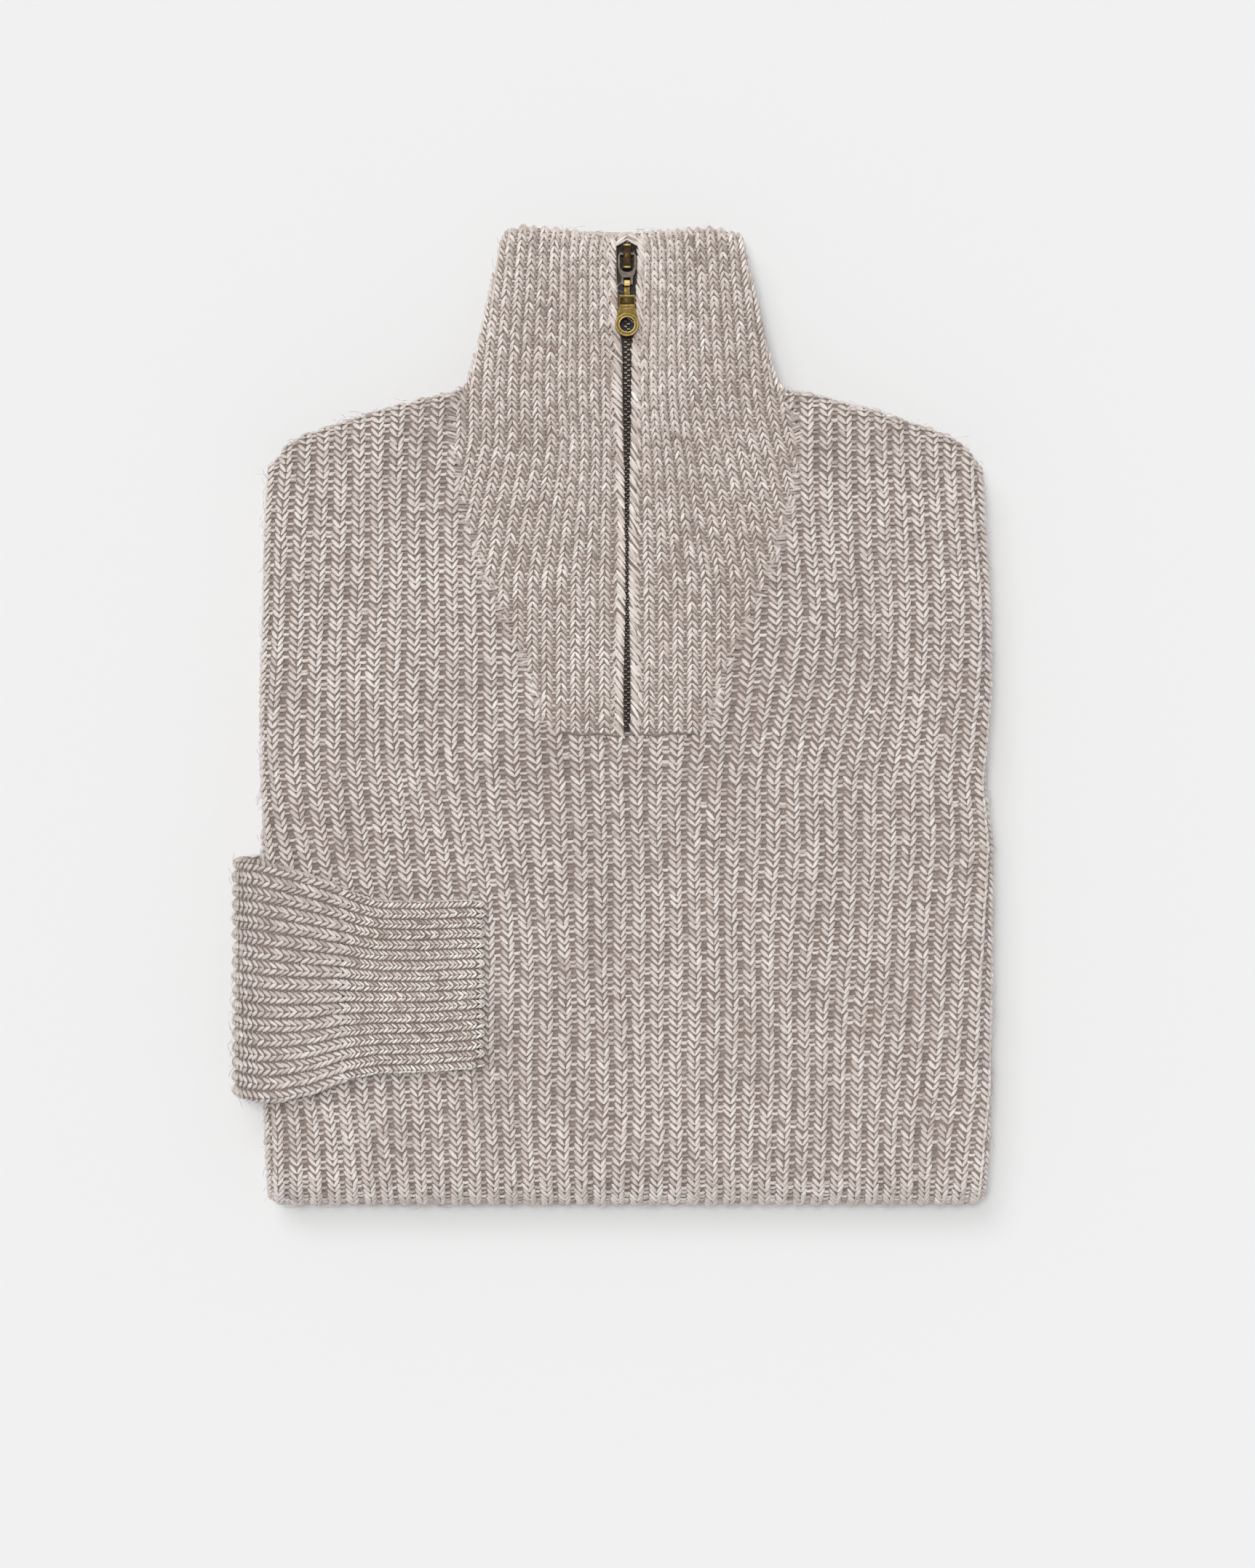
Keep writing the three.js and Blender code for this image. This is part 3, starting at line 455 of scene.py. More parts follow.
def colourRamp(nodes, stops):
    ramp = nodes.new("ShaderNodeValToRGB")
    ramp.color_ramp.elements.remove(ramp.color_ramp.elements[1])
    for i, (place, colour) in enumerate(stops):
        stop = ramp.color_ramp.elements[0] if i == 0 else ramp.color_ramp.elements.new(place)
        stop.position = place
        stop.color = (*colour, 1)
    return ramp


def noiseNode(nodes, links, vector, scale, detail=3.0, rough=0.55):
    noise = nodes.new("ShaderNodeTexNoise")
    noise.inputs["Scale"].default_value = scale
    noise.inputs["Detail"].default_value = detail
    noise.inputs["Roughness"].default_value = rough
    links.new(vector, noise.inputs["Vector"])
    return noise


def mathNode(nodes, links, kind, a, b):
    node = nodes.new("ShaderNodeMath")
    node.operation = kind
    for socket, value in zip(node.inputs, (a, b)):
        if isinstance(value, (int, float)):
            socket.default_value = value
        else:
            links.new(value, socket)
    return node.outputs[0]


def attributeNode(nodes, name):
    node = nodes.new("ShaderNodeAttribute")
    node.attribute_name = name
    return node


def colourBy(nodes, links, shader, value, stops):
    ramp = colourRamp(nodes, stops)
    links.new(value, ramp.inputs["Fac"])
    links.new(ramp.outputs["Color"], shader.inputs["Base Color"])


def bumpBy(nodes, links, shader, height, strength, distance):
    bump = nodes.new("ShaderNodeBump")
    bump.inputs["Strength"].default_value = strength
    bump.inputs["Distance"].default_value = distance
    links.new(height, bump.inputs["Height"])
    links.new(bump.outputs["Normal"], shader.inputs["Normal"])


# Spun wool: streaks of cream and taupe run along each strand, told by its own attributes
def yarnMaterial(name, look):
    material, nodes, links, shader = newMaterial(name)
    along, around, tone = (attributeNode(nodes, key) for key in ("along", "around", "tone"))
    place = nodes.new("ShaderNodeTexCoord")
    joined = nodes.new("ShaderNodeCombineXYZ")
    offset = mathNode(nodes, links, "MULTIPLY", tone.outputs["Fac"], 53.0)  # no two strands streak alike
    links.new(mathNode(nodes, links, "ADD", along.outputs["Fac"], offset), joined.inputs["X"])
    parts = nodes.new("ShaderNodeSeparateXYZ")
    links.new(around.outputs["Vector"], parts.inputs[0])
    links.new(parts.outputs["X"], joined.inputs["Y"])
    links.new(parts.outputs["Y"], joined.inputs["Z"])
    streaks = noiseNode(nodes, links, joined.outputs[0], look["streaks"], 4.0, 0.6)
    patches = noiseNode(nodes, links, place.outputs["Object"], 26.0, 2.0)
    mix = mathNode(nodes, links, "MULTIPLY", streaks.outputs["Fac"], look["streakShare"])
    mix = mathNode(nodes, links, "ADD", mix, tone.outputs["Fac"])
    broad = mathNode(nodes, links, "MULTIPLY", patches.outputs["Fac"], look["patchShare"])
    mix = mathNode(nodes, links, "ADD", mix, broad)
    mix = mathNode(nodes, links, "SUBTRACT", mix, (look["streakShare"] + look["patchShare"]) / 2)
    colourBy(nodes, links, shader, mix, look["colours"])
    bumpBy(nodes, links, shader, streaks.outputs["Fac"], 0.55, 0.0005)
    shader.inputs["Roughness"].default_value = 0.92
    shader.inputs["Sheen Weight"].default_value = look["sheen"]
    shader.inputs["Sheen Roughness"].default_value = 0.45
    shader.inputs["Specular IOR Level"].default_value = 0.15
    return material


# The cloth under the stitches, coloured dark as painted shade in the gaps, with fine knitted loops in its
# bump
def clothMaterial(name, look):
    material, nodes, links, shader = newMaterial(name)
    place = nodes.new("ShaderNodeTexCoord")
    grain = noiseNode(nodes, links, place.outputs["Object"], 900.0, 4.0, 0.65)
    patches = noiseNode(nodes, links, place.outputs["Object"], 60.0, 3.0)
    mix = mathNode(nodes, links, "MULTIPLY", grain.outputs["Fac"], 0.6)
    mix = mathNode(nodes, links, "ADD", mix, mathNode(nodes, links, "MULTIPLY", patches.outputs["Fac"], 0.4))
    colourBy(nodes, links, shader, mix, look["colours"])
    rows = nodes.new("ShaderNodeTexWave")
    rows.bands_direction = "Y"
    rows.inputs["Scale"].default_value = look["rows"]
    rows.inputs["Distortion"].default_value = 1.5
    rows.inputs["Detail"].default_value = 2.0
    links.new(place.outputs["Object"], rows.inputs["Vector"])
    height = mathNode(nodes, links, "ADD", rows.outputs["Fac"], grain.outputs["Fac"])
    bumpBy(nodes, links, shader, height, 0.6, 0.0008)
    shader.inputs["Roughness"].default_value = 0.95
    shader.inputs["Sheen Weight"].default_value = 0.25
    shader.inputs["Specular IOR Level"].default_value = 0.1
    return material


woolColours = {
    "body": [(0.0, (0.22, 0.17, 0.15)), (0.35, (0.475, 0.405, 0.37)), (0.6, (0.68, 0.61, 0.57)),
             (1.0, (0.84, 0.795, 0.76))],
    "collar": [(0.0, (0.19, 0.145, 0.12)), (0.35, (0.47, 0.395, 0.35)), (0.6, (0.70, 0.625, 0.575)),
               (1.0, (0.89, 0.85, 0.81))],
    # the cloth under the stitches is coloured dark: painted shade in the gaps between them
    "under": [(0.0, (0.10, 0.076, 0.064)), (0.5, (0.24, 0.19, 0.165)), (1.0, (0.38, 0.315, 0.28))],
}
yarnLook = {"streaks": 3.2, "streakShare": 0.95, "patchShare": 0.4, "sheen": 0.4}
bodyYarn = yarnMaterial("body yarn", {**yarnLook, "colours": woolColours["body"]})
collarYarn = yarnMaterial("collar yarn", {**yarnLook, "colours": woolColours["collar"]})
gapShadeCloth = clothMaterial("cloth between stitches, painted shade", {"colours": woolColours["under"], "rows": 50.0})
hiddenCloth = clothMaterial("folded cloth", {"colours": woolColours["body"], "rows": 50.0})
print("wool materials made")


# Geometry Nodes: one tapered strand of yarn at each point, turned and sized by the point's attributes
def strandTree():
    tree = bpy.data.node_groups.new("strands of yarn", "GeometryNodeTree")
    face = tree.interface
    face.new_socket("Geometry", in_out="INPUT", socket_type="NodeSocketGeometry")
    inputs = {
        "Sides": ("NodeSocketInt", 5),
        "Segments": ("NodeSocketInt", 3),
        "Blunt ends": ("NodeSocketFloat", 0.4),
        "Arch": ("NodeSocketFloat", 0.2),
        "Bend": ("NodeSocketFloat", 0.0),
        "Uneven": ("NodeSocketFloat", 0.12),
        "Seed": ("NodeSocketInt", 1),
        "Material": ("NodeSocketMaterial", None),
    }
    for name, (kind, value) in inputs.items():
        socket = face.new_socket(name, in_out="INPUT", socket_type=kind)
        if value is not None:
            socket.default_value = value
    face.new_socket("Geometry", in_out="OUTPUT", socket_type="NodeSocketGeometry")
    nodes, links = tree.nodes, tree.links

    def add(kind, **values):
        node = nodes.new(kind)
        for key, value in values.items():
            setattr(node, key, value)
        return node

    def calc(operation, a, b):
        return mathNode(nodes, links, operation, a, b)

    def named(name):
        node = add("GeometryNodeInputNamedAttribute", data_type="FLOAT_VECTOR")
        node.inputs["Name"].default_value = name
        return node.outputs["Attribute"]

    def store(geometry, name, kind, value):
        node = add("GeometryNodeStoreNamedAttribute", data_type=kind, domain="POINT")
        node.inputs["Name"].default_value = name
        links.new(geometry, node.inputs["Geometry"])
        links.new(value, node.inputs["Value"])
        return node.outputs["Geometry"]

    # One strand, a unit long: its line arched and bent, thinner at its ends, with a round section
    given = add("NodeGroupInput")
    line = add("GeometryNodeCurvePrimitiveLine")
    line.inputs["Start"].default_value = (-0.5, 0, 0)
    line.inputs["End"].default_value = (0.5, 0, 0)
    points = add("GeometryNodeResampleCurve")
    links.new(line.outputs[0], points.inputs["Curve"])
    links.new(calc("ADD", given.outputs["Segments"], 1), points.inputs["Count"])
    factor = add("GeometryNodeSplineParameter").outputs["Factor"]
    swelling = calc("MULTIPLY", calc("MULTIPLY", factor, 4.0), calc("SUBTRACT", 1.0, factor))
    moved = add("GeometryNodeSetPosition")
    links.new(store(points.outputs[0], "along", "FLOAT", factor), moved.inputs["Geometry"])
    shift = add("ShaderNodeCombineXYZ")
    links.new(calc("MULTIPLY", given.outputs["Bend"], swelling), shift.inputs["Y"])
    links.new(calc("MULTIPLY", given.outputs["Arch"], swelling), shift.inputs["Z"])
    links.new(shift.outputs[0], moved.inputs["Offset"])
    radius = calc("MULTIPLY", calc("MAXIMUM", calc("POWER", swelling, 0.5), given.outputs["Blunt ends"]), 0.5)
    sized = add("GeometryNodeSetCurveRadius")
    links.new(moved.outputs[0], sized.inputs["Curve"])
    links.new(radius, sized.inputs["Radius"])
    ring = add("GeometryNodeCurvePrimitiveCircle")
    ring.inputs["Radius"].default_value = 1.0
    links.new(given.outputs["Sides"], ring.inputs["Resolution"])
    section = store(ring.outputs[0], "around", "FLOAT_VECTOR", add("GeometryNodeInputPosition").outputs[0])
    skin = add("GeometryNodeCurveToMesh")
    links.new(sized.outputs[0], skin.inputs["Curve"])
    links.new(section, skin.inputs["Profile Curve"])
    skin.inputs["Fill Caps"].default_value = True
    if "Scale" in skin.inputs:
        links.new(radius, skin.inputs["Scale"])
    soft = add("GeometryNodeSetShadeSmooth")
    links.new(skin.outputs[0], soft.inputs[0])

    # Laid at every point, each a little uneven in its size and turn
    chance = add("FunctionNodeRandomValue", data_type="FLOAT_VECTOR")
    chance.inputs[0].default_value = (-1, -1, -1)
    chance.inputs[1].default_value = (1, 1, 1)
    links.new(given.outputs["Seed"], chance.inputs["Seed"])
    uneven = add("ShaderNodeVectorMath", operation="SCALE")
    links.new(chance.outputs[0], uneven.inputs[0])
    links.new(given.outputs["Uneven"], uneven.inputs["Scale"])
    growth = add("ShaderNodeVectorMath", operation="ADD")
    links.new(uneven.outputs[0], growth.inputs[0])
    growth.inputs[1].default_value = (1, 1, 1)
    size = add("ShaderNodeVectorMath", operation="MULTIPLY")
    links.new(named("size"), size.inputs[0])
    links.new(growth.outputs[0], size.inputs[1])
    turn = add("ShaderNodeVectorMath", operation="ADD")
    links.new(named("turn"), turn.inputs[0])
    links.new(uneven.outputs[0], turn.inputs[1])
    rotation = add("FunctionNodeEulerToRotation")
    links.new(turn.outputs[0], rotation.inputs[0])
    placed = add("GeometryNodeInstanceOnPoints")
    links.new(given.outputs["Geometry"], placed.inputs["Points"])
    links.new(soft.outputs[0], placed.inputs["Instance"])
    links.new(rotation.outputs[0], placed.inputs["Rotation"])
    links.new(size.outputs[0], placed.inputs["Scale"])
    real = add("GeometryNodeRealizeInstances")
    links.new(placed.outputs[0], real.inputs[0])
    finish = add("GeometryNodeSetMaterial")
    links.new(real.outputs[0], finish.inputs["Geometry"])
    links.new(given.outputs["Material"], finish.inputs["Material"])
    links.new(finish.outputs[0], add("NodeGroupOutput").inputs[0])
    return tree


strands = strandTree()


# Lays strands from arrays of their two ends, the way out of the cloth, width, thickness and tone
def layStrands(name, a, b, out, width, thick, tone, material, **settings):
    middle, run = (a + b) / 2, b - a
    length = np.linalg.norm(run, axis=1)
    keep = length > 0.2
    middle, run, length, out = middle[keep], run[keep], length[keep], out[keep]
    width, thick, tone = (np.broadcast_to(v, keep.shape)[keep] for v in (width, thick, tone))
    x = run / length[:, None]
    z = out - (out * x).sum(1)[:, None] * x
    z /= np.linalg.norm(z, axis=1)[:, None]
    y = np.cross(z, x)
    turn = np.stack([np.arctan2(y[:, 2], z[:, 2]), -np.arcsin(np.clip(x[:, 2], -1, 1)),
                     np.arctan2(x[:, 1], x[:, 0])], axis=1)
    size = np.stack([length, width, thick], axis=1) * mm
    piece = newMesh(name, middle, [])
    told = [
        ("turn", "FLOAT_VECTOR", "vector", turn),
        ("size", "FLOAT_VECTOR", "vector", size),
        ("tone", "FLOAT", "value", tone),
    ]
    for key, kind, field, values in told:
        attribute = piece.data.attributes.new(key, kind, "POINT")
        attribute.data.foreach_set(field, np.ascontiguousarray(values, dtype=np.float32).ravel())
    grow = piece.modifiers.new("strands", "NODES")
    grow.node_group = strands
    sockets = {s.name: s.identifier for s in strands.interface.items_tree if s.in_out == "INPUT"}
    for key, value in {**settings, "Material": material}.items():
        grow[sockets[key]] = value
    settle(piece)
    piece.data.materials.clear()
    piece.data.materials.append(material)
    triangles = sum(len(p.vertices) - 2 for p in piece.data.polygons)
    print("  ", name, len(middle), "strands,", triangles, "triangles")
    return piece


# Broad pools of painted light where the knit is paler: middle, reach, how much
paintedLightPlaces = [{"at": (-118, 95), "reach": 62, "more": 0.09}, {"at": (0, 85), "reach": 44, "more": 0.06}]


def paintedLightness(p):
    total = np.zeros(len(p))
    for place in paintedLightPlaces:
        away = np.hypot(p[:, 0] - place["at"][0], p[:, 1] - place["at"][1]) / place["reach"]
        total += place["more"] * np.exp(-(away**2))
    return total


# How unevenly the loops are knitted
slack = {"row": 0.16, "across": 0.02, "lift": 0.1, "width": 0.09}


# Ends, outward ways and tones of a field of knitted loops on a surface. A leg runs from one end to the
# other, each given as its place across the rib, its place along the row and its height.
def knitLoops(place, ribs, rows, knit, keep, chance):
    k, r = np.meshgrid(np.arange(ribs), rows, indexing="ij")
    ks, rs = k.ravel().astype(float), r.ravel()
    rs = rs + chance.normal(0, slack["row"], rs.shape)
    fields = {}
    for part, leg in knit.items():
        at, along = (leg["from"][0] + leg["to"][0]) / 2, (leg["from"][1] + leg["to"][1]) / 2
        shown = keep(ks + at, rs + along)
        k, r = ks[shown], rs[shown]
        r = r + chance.normal(0, leg.get("loose", 0), r.shape)
        drift = chance.normal(0, slack["across"], r.shape)
        lift = chance.normal(0, slack["lift"], r.shape)
        ends = [place(k + at + drift, r + along, high + lift) for at, along, high in (leg["from"], leg["to"])]
        mid = place(k + at, r, 0.0)
        out = place(k + at, r, 1.0) - mid
        out = out / np.linalg.norm(out, axis=1)[:, None]
        # painted light: the tone is raised in the broad pale places
        tone = np.clip(leg["tone"] + paintedLightness(mid) + chance.normal(0, leg["spread"], r.shape), 0.02, 0.98)
        width = leg["width"] * (1 + chance.normal(0, slack["width"], r.shape))
        fields[part] = (ends[0], ends[1], out, width, width * leg["flat"], tone)
    return fields


def layKnit(name, fields, parts, material, **settings):
    joined = [np.concatenate([fields[p][i] for p in parts]) for i in range(6)]
    return layStrands(name, *joined, material, **settings)


# The front panel: its cloth, then a field of V stitches down each rib with purl arcs between
body = {"rib": 8.7, "row": 3.15, "relief": 1.3, "sink": 0.35, "seed": 11, "foldTurn": 128, "perRib": 4}
bodyReach = flatHalf + lipArc
bodyRibs = 44
bodyFan = {"y": [-190, -150, -50, 20, 100, 190], "pitch": [8.3, 8.3, 8.6, 8.9, 8.8, 8.75]}


# Where rib k runs: the ribs fan out a little going up, and more beside the bib
def bodyU(k, s):
    y = pack["foldY"] + np.maximum(s, 0)
    u = (k - bodyRibs / 2) * np.interp(y, bodyFan["y"], bodyFan["pitch"])
    right = 9 * smooth((y - 5) / 85) * smooth((u - 15) / 45) * (1 - 0.5 * smooth((u - 95) / 65))
    left = -5 * smooth((y + 70) / 100) * smooth((-u - 10) / 50)
    wander = 0.7 * np.sin(s / 41 + u / 29) + 0.45 * np.sin(s / 17 + u / 13)
    return u + right + left + wander


def bodyPlace(k, s, h):
    return frontPlace(np.clip(bodyU(k, s), -bodyReach, bodyReach), s, h)


# Columns that reach past the side edge stay a little apart
def heldApart(u):
    step = 0.15 * np.arange(len(u))
    return np.clip(u, step - bodyReach, bodyReach - step[::-1])


def frontShell():
    k = np.arange(bodyRibs * body["perRib"] + 1) / body["perRib"]
    sideRibs = np.linspace(0, 3, 9)
    middleRibs = np.linspace(5, bodyRibs - 5, 20)
    kIn = np.concatenate([sideRibs, middleRibs, np.linspace(bodyRibs - 3, bodyRibs, 9)])
    u = np.clip(bodyU(k, 340), -bodyReach, bodyReach)
    deep = roundSide(u)
    highS = shoulderY(u) - shoulderRollAt(deep) - pack["foldY"]
    roll = pack["shoulderRoll"] * math.pi / 2
    under = pack["hemY"] - pack["foldY"]

    # Rows round the shoulder edge, down the front, round the fold and on to the hem, each ribbed or plain
    rows = [(highS + roll * share * (1 - 0.75 * deep), 1) for share in (1, 0.66, 0.33)]
    rows += [(highS * (1 - share), 1) for share in np.linspace(0, 1, 34)]
    rows += [(np.full(k.shape, -math.radians(bend) * foldRadius), 1 if bend < 150 else 0)
             for bend in np.linspace(8, 172, 16)]
    rows += [(np.full(k.shape, -math.pi * foldRadius - under * share), 0) for share in (0, 0.33, 0.66, 1)]
    outer, inner = [], []
    for s, ribbed in rows:
        sIn = np.interp(kIn, k, s)
        sunk = (body["relief"] * (1 - ribHigh(k)) + body["sink"]) * ribbed
        outer.append(frontPlace(heldApart(bodyU(k, s)), s, -sunk))
        inner.append(frontPlace(heldApart(bodyU(kIn, sIn)), sIn, -pack["wall"]))
    shell = wallPiece("frontCloth", np.array(outer), np.array(inner), gapShadeCloth)
    cutWith(shell, bibEdge(0.3), pack["height"] - 12, pack["height"] + 12)
    # The half that lies underneath is plain knit. The cut leaves an empty slot, so both are set anew.
    shell.data.materials.clear()
    shell.data.materials.append(gapShadeCloth)
    shell.data.materials.append(hiddenCloth)
    for face in shell.data.polygons:
        face.material_index = 1 if face.center.z < (foldRadius - 1) * mm else 0
    return shell


bodyKnit = {
    "left": {"from": (0.24, 1.8, -0.9), "to": (0.62, -1.8, 0.7), "width": 2.1, "flat": 0.85,
             "tone": 0.54, "spread": 0.08},
    "right": {"from": (0.91, 1.95, -0.8), "to": (0.66, -1.95, 0.65), "width": 1.85, "flat": 0.9,
              "tone": 0.6, "spread": 0.08},
    # the purl arcs sink into the gaps; their lower tone is painted shade, with the marl's own spread on top
    "purl": {"from": (-0.14, 0.35, -0.98), "to": (0.24, 0.35, -0.94), "width": 1.95, "flat": 0.9,
             "tone": 0.41, "spread": 0.14, "loose": 0.4},
}


# Whether a stitch lies on the panel: not under the bib, nor past the shoulder edge or the lip
def onBody(k, s):
    p = bodyPlace(k, s, 0.0)
    inside = (np.abs(p[:, 0] - shiftAt(p[:, 1])) < bibHalf(p[:, 1])) & (p[:, 1] > bibFoot - 1.1)
    u = bodyU(k, s)
    roll = shoulderRollAt(roundSide(u))
    last = shoulderY(u) - roll - pack["foldY"] + roll * 1.5
    return ~(inside & (p[:, 2] > pack["height"] - 11)) & (s < last) & (np.abs(u) < bodyReach - 1)


frontCloth = frontShell()


seam = {
    "sides": (31, 186, 1.5),
    "foot": (-26.5, 26.6, 1.6),
    "thread": (-30, 31, 3.1),
    "outward": 2.6,
    "inward": 2.5,
    "wool": {"high": -0.65, "width": 1.55, "tone": 0.32},
    "dark": {"high": 0.4, "width": 1.15, "tone": -0.25},
}


# The grafted seam round the bib: short strands laid across it, and dark thread along its foot
def seamStrands(chance):
    ys = np.arange(*seam["sides"])
    ys = ys + chance.normal(0, 0.2, ys.shape)
    a, b = [], []
    for side in (-1, 1):
        x = shiftAt(ys) + side * bibHalf(ys)
        along = np.stack([np.gradient(x, ys), np.ones_like(ys)], axis=1)
        along /= np.linalg.norm(along, axis=1)[:, None]
        across = np.stack([along[:, 1], -along[:, 0]], axis=1) * side
        centre = np.stack([x, ys], axis=1)
        a.append(centre + across * seam["outward"] + along * 0.9)
        b.append(centre - across * seam["inward"] - along * 0.6)
    xs = np.arange(*seam["foot"])
    xs = xs[np.abs(xs) > 2.6]  # none over the zip
    foot = np.stack([xs, np.full(xs.shape, bibFoot)], axis=1)
    a.append(foot + (0.7, -1.4))
    b.append(foot + (-0.4, 1.0))
    xs = np.arange(*seam["thread"])
    line = np.stack([xs, bibFoot + 0.1 + 0.5 * np.sin(xs / 2.7) + xs**2 / 900], axis=1)
    a.append(line[:-1] + (0, 0.1))
    b.append(line[1:] + (0.4, -0.1))
    a, b = np.concatenate(a), np.concatenate(b)

    def lifted(p, h):
        z = pack["height"] + (swell(p[:, 0], p[:, 1]) - creaseDepth(p[:, 0], p[:, 1])) + h
        return np.column_stack([p, z])

    n = len(a)
    out = np.tile([0.0, 0.0, 1.0], (n, 1))
    thread = np.arange(n) > n - len(line)
    wool, dark = seam["wool"], seam["dark"]
    tone = np.where(thread, dark["tone"], np.clip(chance.normal(wool["tone"], 0.12, n), 0.05, 0.95))
    high = np.where(thread, dark["high"], wool["high"])
    width = np.where(thread, dark["width"], wool["width"] + chance.normal(0, 0.15, n))
    return lifted(a, high), lifted(b, high), out, width, width * 0.9, tone


chance = np.random.default_rng(body["seed"])
bodyRows = np.arange(-math.radians(body["foldTurn"]) * foldRadius, 372, body["row"])
loops = knitLoops(bodyPlace, bodyRibs, bodyRows, bodyKnit, onBody, chance)
frontLeft = layKnit("frontStitchesLeft", loops, ["left"], bodyYarn, Seed=3, Arch=0.12, Uneven=0.07)
frontRight = layKnit("frontStitchesRight", loops, ["right"], bodyYarn, Seed=4, Arch=0.12, Uneven=0.07)
frontPurl = layKnit("frontPurl", loops, ["purl"], bodyYarn, Seed=5, Sides=4, Bend=-0.35, Uneven=0.1)
bibSeam = layStrands("bibSeam", *seamStrands(chance), bodyYarn, Seed=6, Sides=4, Arch=0.16, Uneven=0.12)
print("front panel knitted")


# The bib and collar: each half a wall cut to its outline, with stitches pointing up
sides = ((-1, "Left"), (1, "Right"))
collar = {
    "row": 2.84,
    "relief": 1.0,
    "sink": 0.35,
    "ribs": 16,
    "perRib": 4,
    "first": 0.06,
    "topRows": 6,
    "seed": 23,
}


def collarHalf(side, name):
    first, topRows = collar["first"], collar["topRows"]
    k = np.concatenate([[first], np.arange(1, collar["ribs"] * collar["perRib"] + 1) / collar["perRib"]])
    kIn = np.array([first, 1.25, 1.45, 5, 9, 12, collar["ribs"]])
    footLevels = [29.4, 30.4, 32, 33.5, 36, 39]
    levels = np.concatenate([footLevels, np.arange(44, 180, 6.8), np.arange(182, 250, 3.4)])
    sunk = collar["relief"] * (1 - ribHigh(k)) + collar["sink"]
    outer, inner = [], []

    # Columns past the seam or the zip's opening are held at it
    def held(p, y):
        away = np.clip(side * (p[:, 0] - shiftAt(y)), None, bibHalf(y) - 0.05)
        p[:, 0] = side * np.maximum(side * (shiftAt(y) + side * away), zipHalf(y))
        return p

    for row in range(len(levels) + topRows):
        y = np.full(k.shape, levels[min(row, len(levels) - 1)])
        x = collarPlace(side, k, y, 0.0)[:, 0]
        if row >= len(levels):
            y = y + (topEdge(x) + 3.4 - y) * (row - len(levels) + 1) / topRows
        outer.append(held(collarPlace(side, k, y, -sunk), y))
        yIn = np.interp(kIn, k, y)
        q = collarPlace(side, kIn, yIn, -0.6)
        thick = smooth((q[:, 1] - 184) / 5) * smooth((np.abs(q[:, 0]) - 7) / 0.8)
        deeper = (pack["collarWall"] - pack["bibWall"]) * thick
        q[:, 2] = pack["height"] - droop(q[:, 1]) - pack["bibWall"] - deeper
        inner.append(held(q, yIn))
    return wallPiece(name, np.array(outer), np.array(inner), gapShadeCloth)


collarKnit = {
    "left": {"from": (0.2, -1.8, -0.7), "to": (0.5, 1.8, 0.75), "width": 1.65, "flat": 0.9,
             "tone": 0.6, "spread": 0.12},
    "right": {"from": (0.93, -1.7, -0.8), "to": (0.56, 1.7, 0.75), "width": 1.75, "flat": 0.9,
              "tone": 0.5, "spread": 0.12},
    # the purl arcs sink into the gaps; their lower tone is painted shade, with the marl's own spread on top
    "purl": {"from": (-0.1, -0.3, -1.05), "to": (0.2, -0.3, -1.05), "width": 1.45, "flat": 0.9,
             "tone": 0.4, "spread": 0.1},
}


# The same loops turned over about the middle of the wale
def mirrored(knit):
    legs = {}
    for part, leg in knit.items():
        flipped = {key: (1.12 - leg[key][0], *leg[key][1:]) for key in ("from", "to")}
        legs[part] = {**leg, **flipped}
    return legs


def collarStitches(side):
    def keep(k, y):
        x = collarX(side, k, y)
        beyondBorder = k > 0.97
        within = bibHalf(y) - np.abs(x - shiftAt(y)) > 0.2 - 3.4 * freeCollar(y)
        return beyondBorder & within & (y < topEdge(x) + 2.6) & (y > bibFoot + 1)

    rows = np.arange(bibFoot + 2, 266, collar["row"])
    knit = mirrored(collarKnit) if side < 0 else collarKnit
    chance = np.random.default_rng(collar["seed"] + side)
    return knitLoops(partial(collarPlace, side), collar["ribs"], rows, knit, keep, chance)


zipEdge = {"row": 2.7, "wide": 3.4, "rise": 2.7, "width": 1.95, "tone": 0.56}


# The wale that borders the zip: large loose stitches that lean the same way on both sides
def zipEdgeStrands(side, chance):
    ys = np.arange(31.5, 262, zipEdge["row"])
    ys = ys + chance.normal(0, 0.45, ys.shape)
    near = zipHalf(ys) + 0.3
    apart = np.maximum(zipHalf(ys) - zipOpening["plain"], 0) * 0.8

    def place(away, y, h):
        return collarPlace(side, (away - apart) / collarRib["beside"], y, h)

    far = near + zipEdge["wide"] + chance.normal(0, 0.45, ys.shape)
    high, low = (far, near) if side < 0 else (near, far)
    a, b = place(high, ys + zipEdge["rise"], 0.2), place(low, ys - zipEdge["rise"], 0.2)
    a2, b2 = place(far + 1.3, ys - 0.9, -0.6), place(far - 0.6, ys + 2.2, 0.1)
    # Stitches that close over the head of the slider
    tips = np.array([253.4, 255.0, 256.8, 258.6, 260.0])
    arches = len(tips)
    a3, b3 = collarPlace(side, 0.5, tips - 1.6, 0.3), collarPlace(side, 0.1, tips + 1.7, 0.4)
    a3[:, 0] = side * np.linspace(6.2, 3.0, arches)
    b3[:, 0] = side * 0.1
    a, b = np.concatenate([a, a2, a3]), np.concatenate([b, b2, b3])
    n = len(a)
    out = np.tile([0.0, 0.0, 1.0], (n, 1))
    count = [len(ys), len(ys), arches]  # border stitches, those behind them, and those over the slider
    width = np.repeat([zipEdge["width"], 1.6, 1.8], count) + chance.normal(0, 0.2, n)
    tone = np.clip(np.repeat([zipEdge["tone"], 0.5, 0.6], count) + chance.normal(0, 0.12, n), 0.05, 0.95)
    return a, b, out, width, width * 0.85, tone


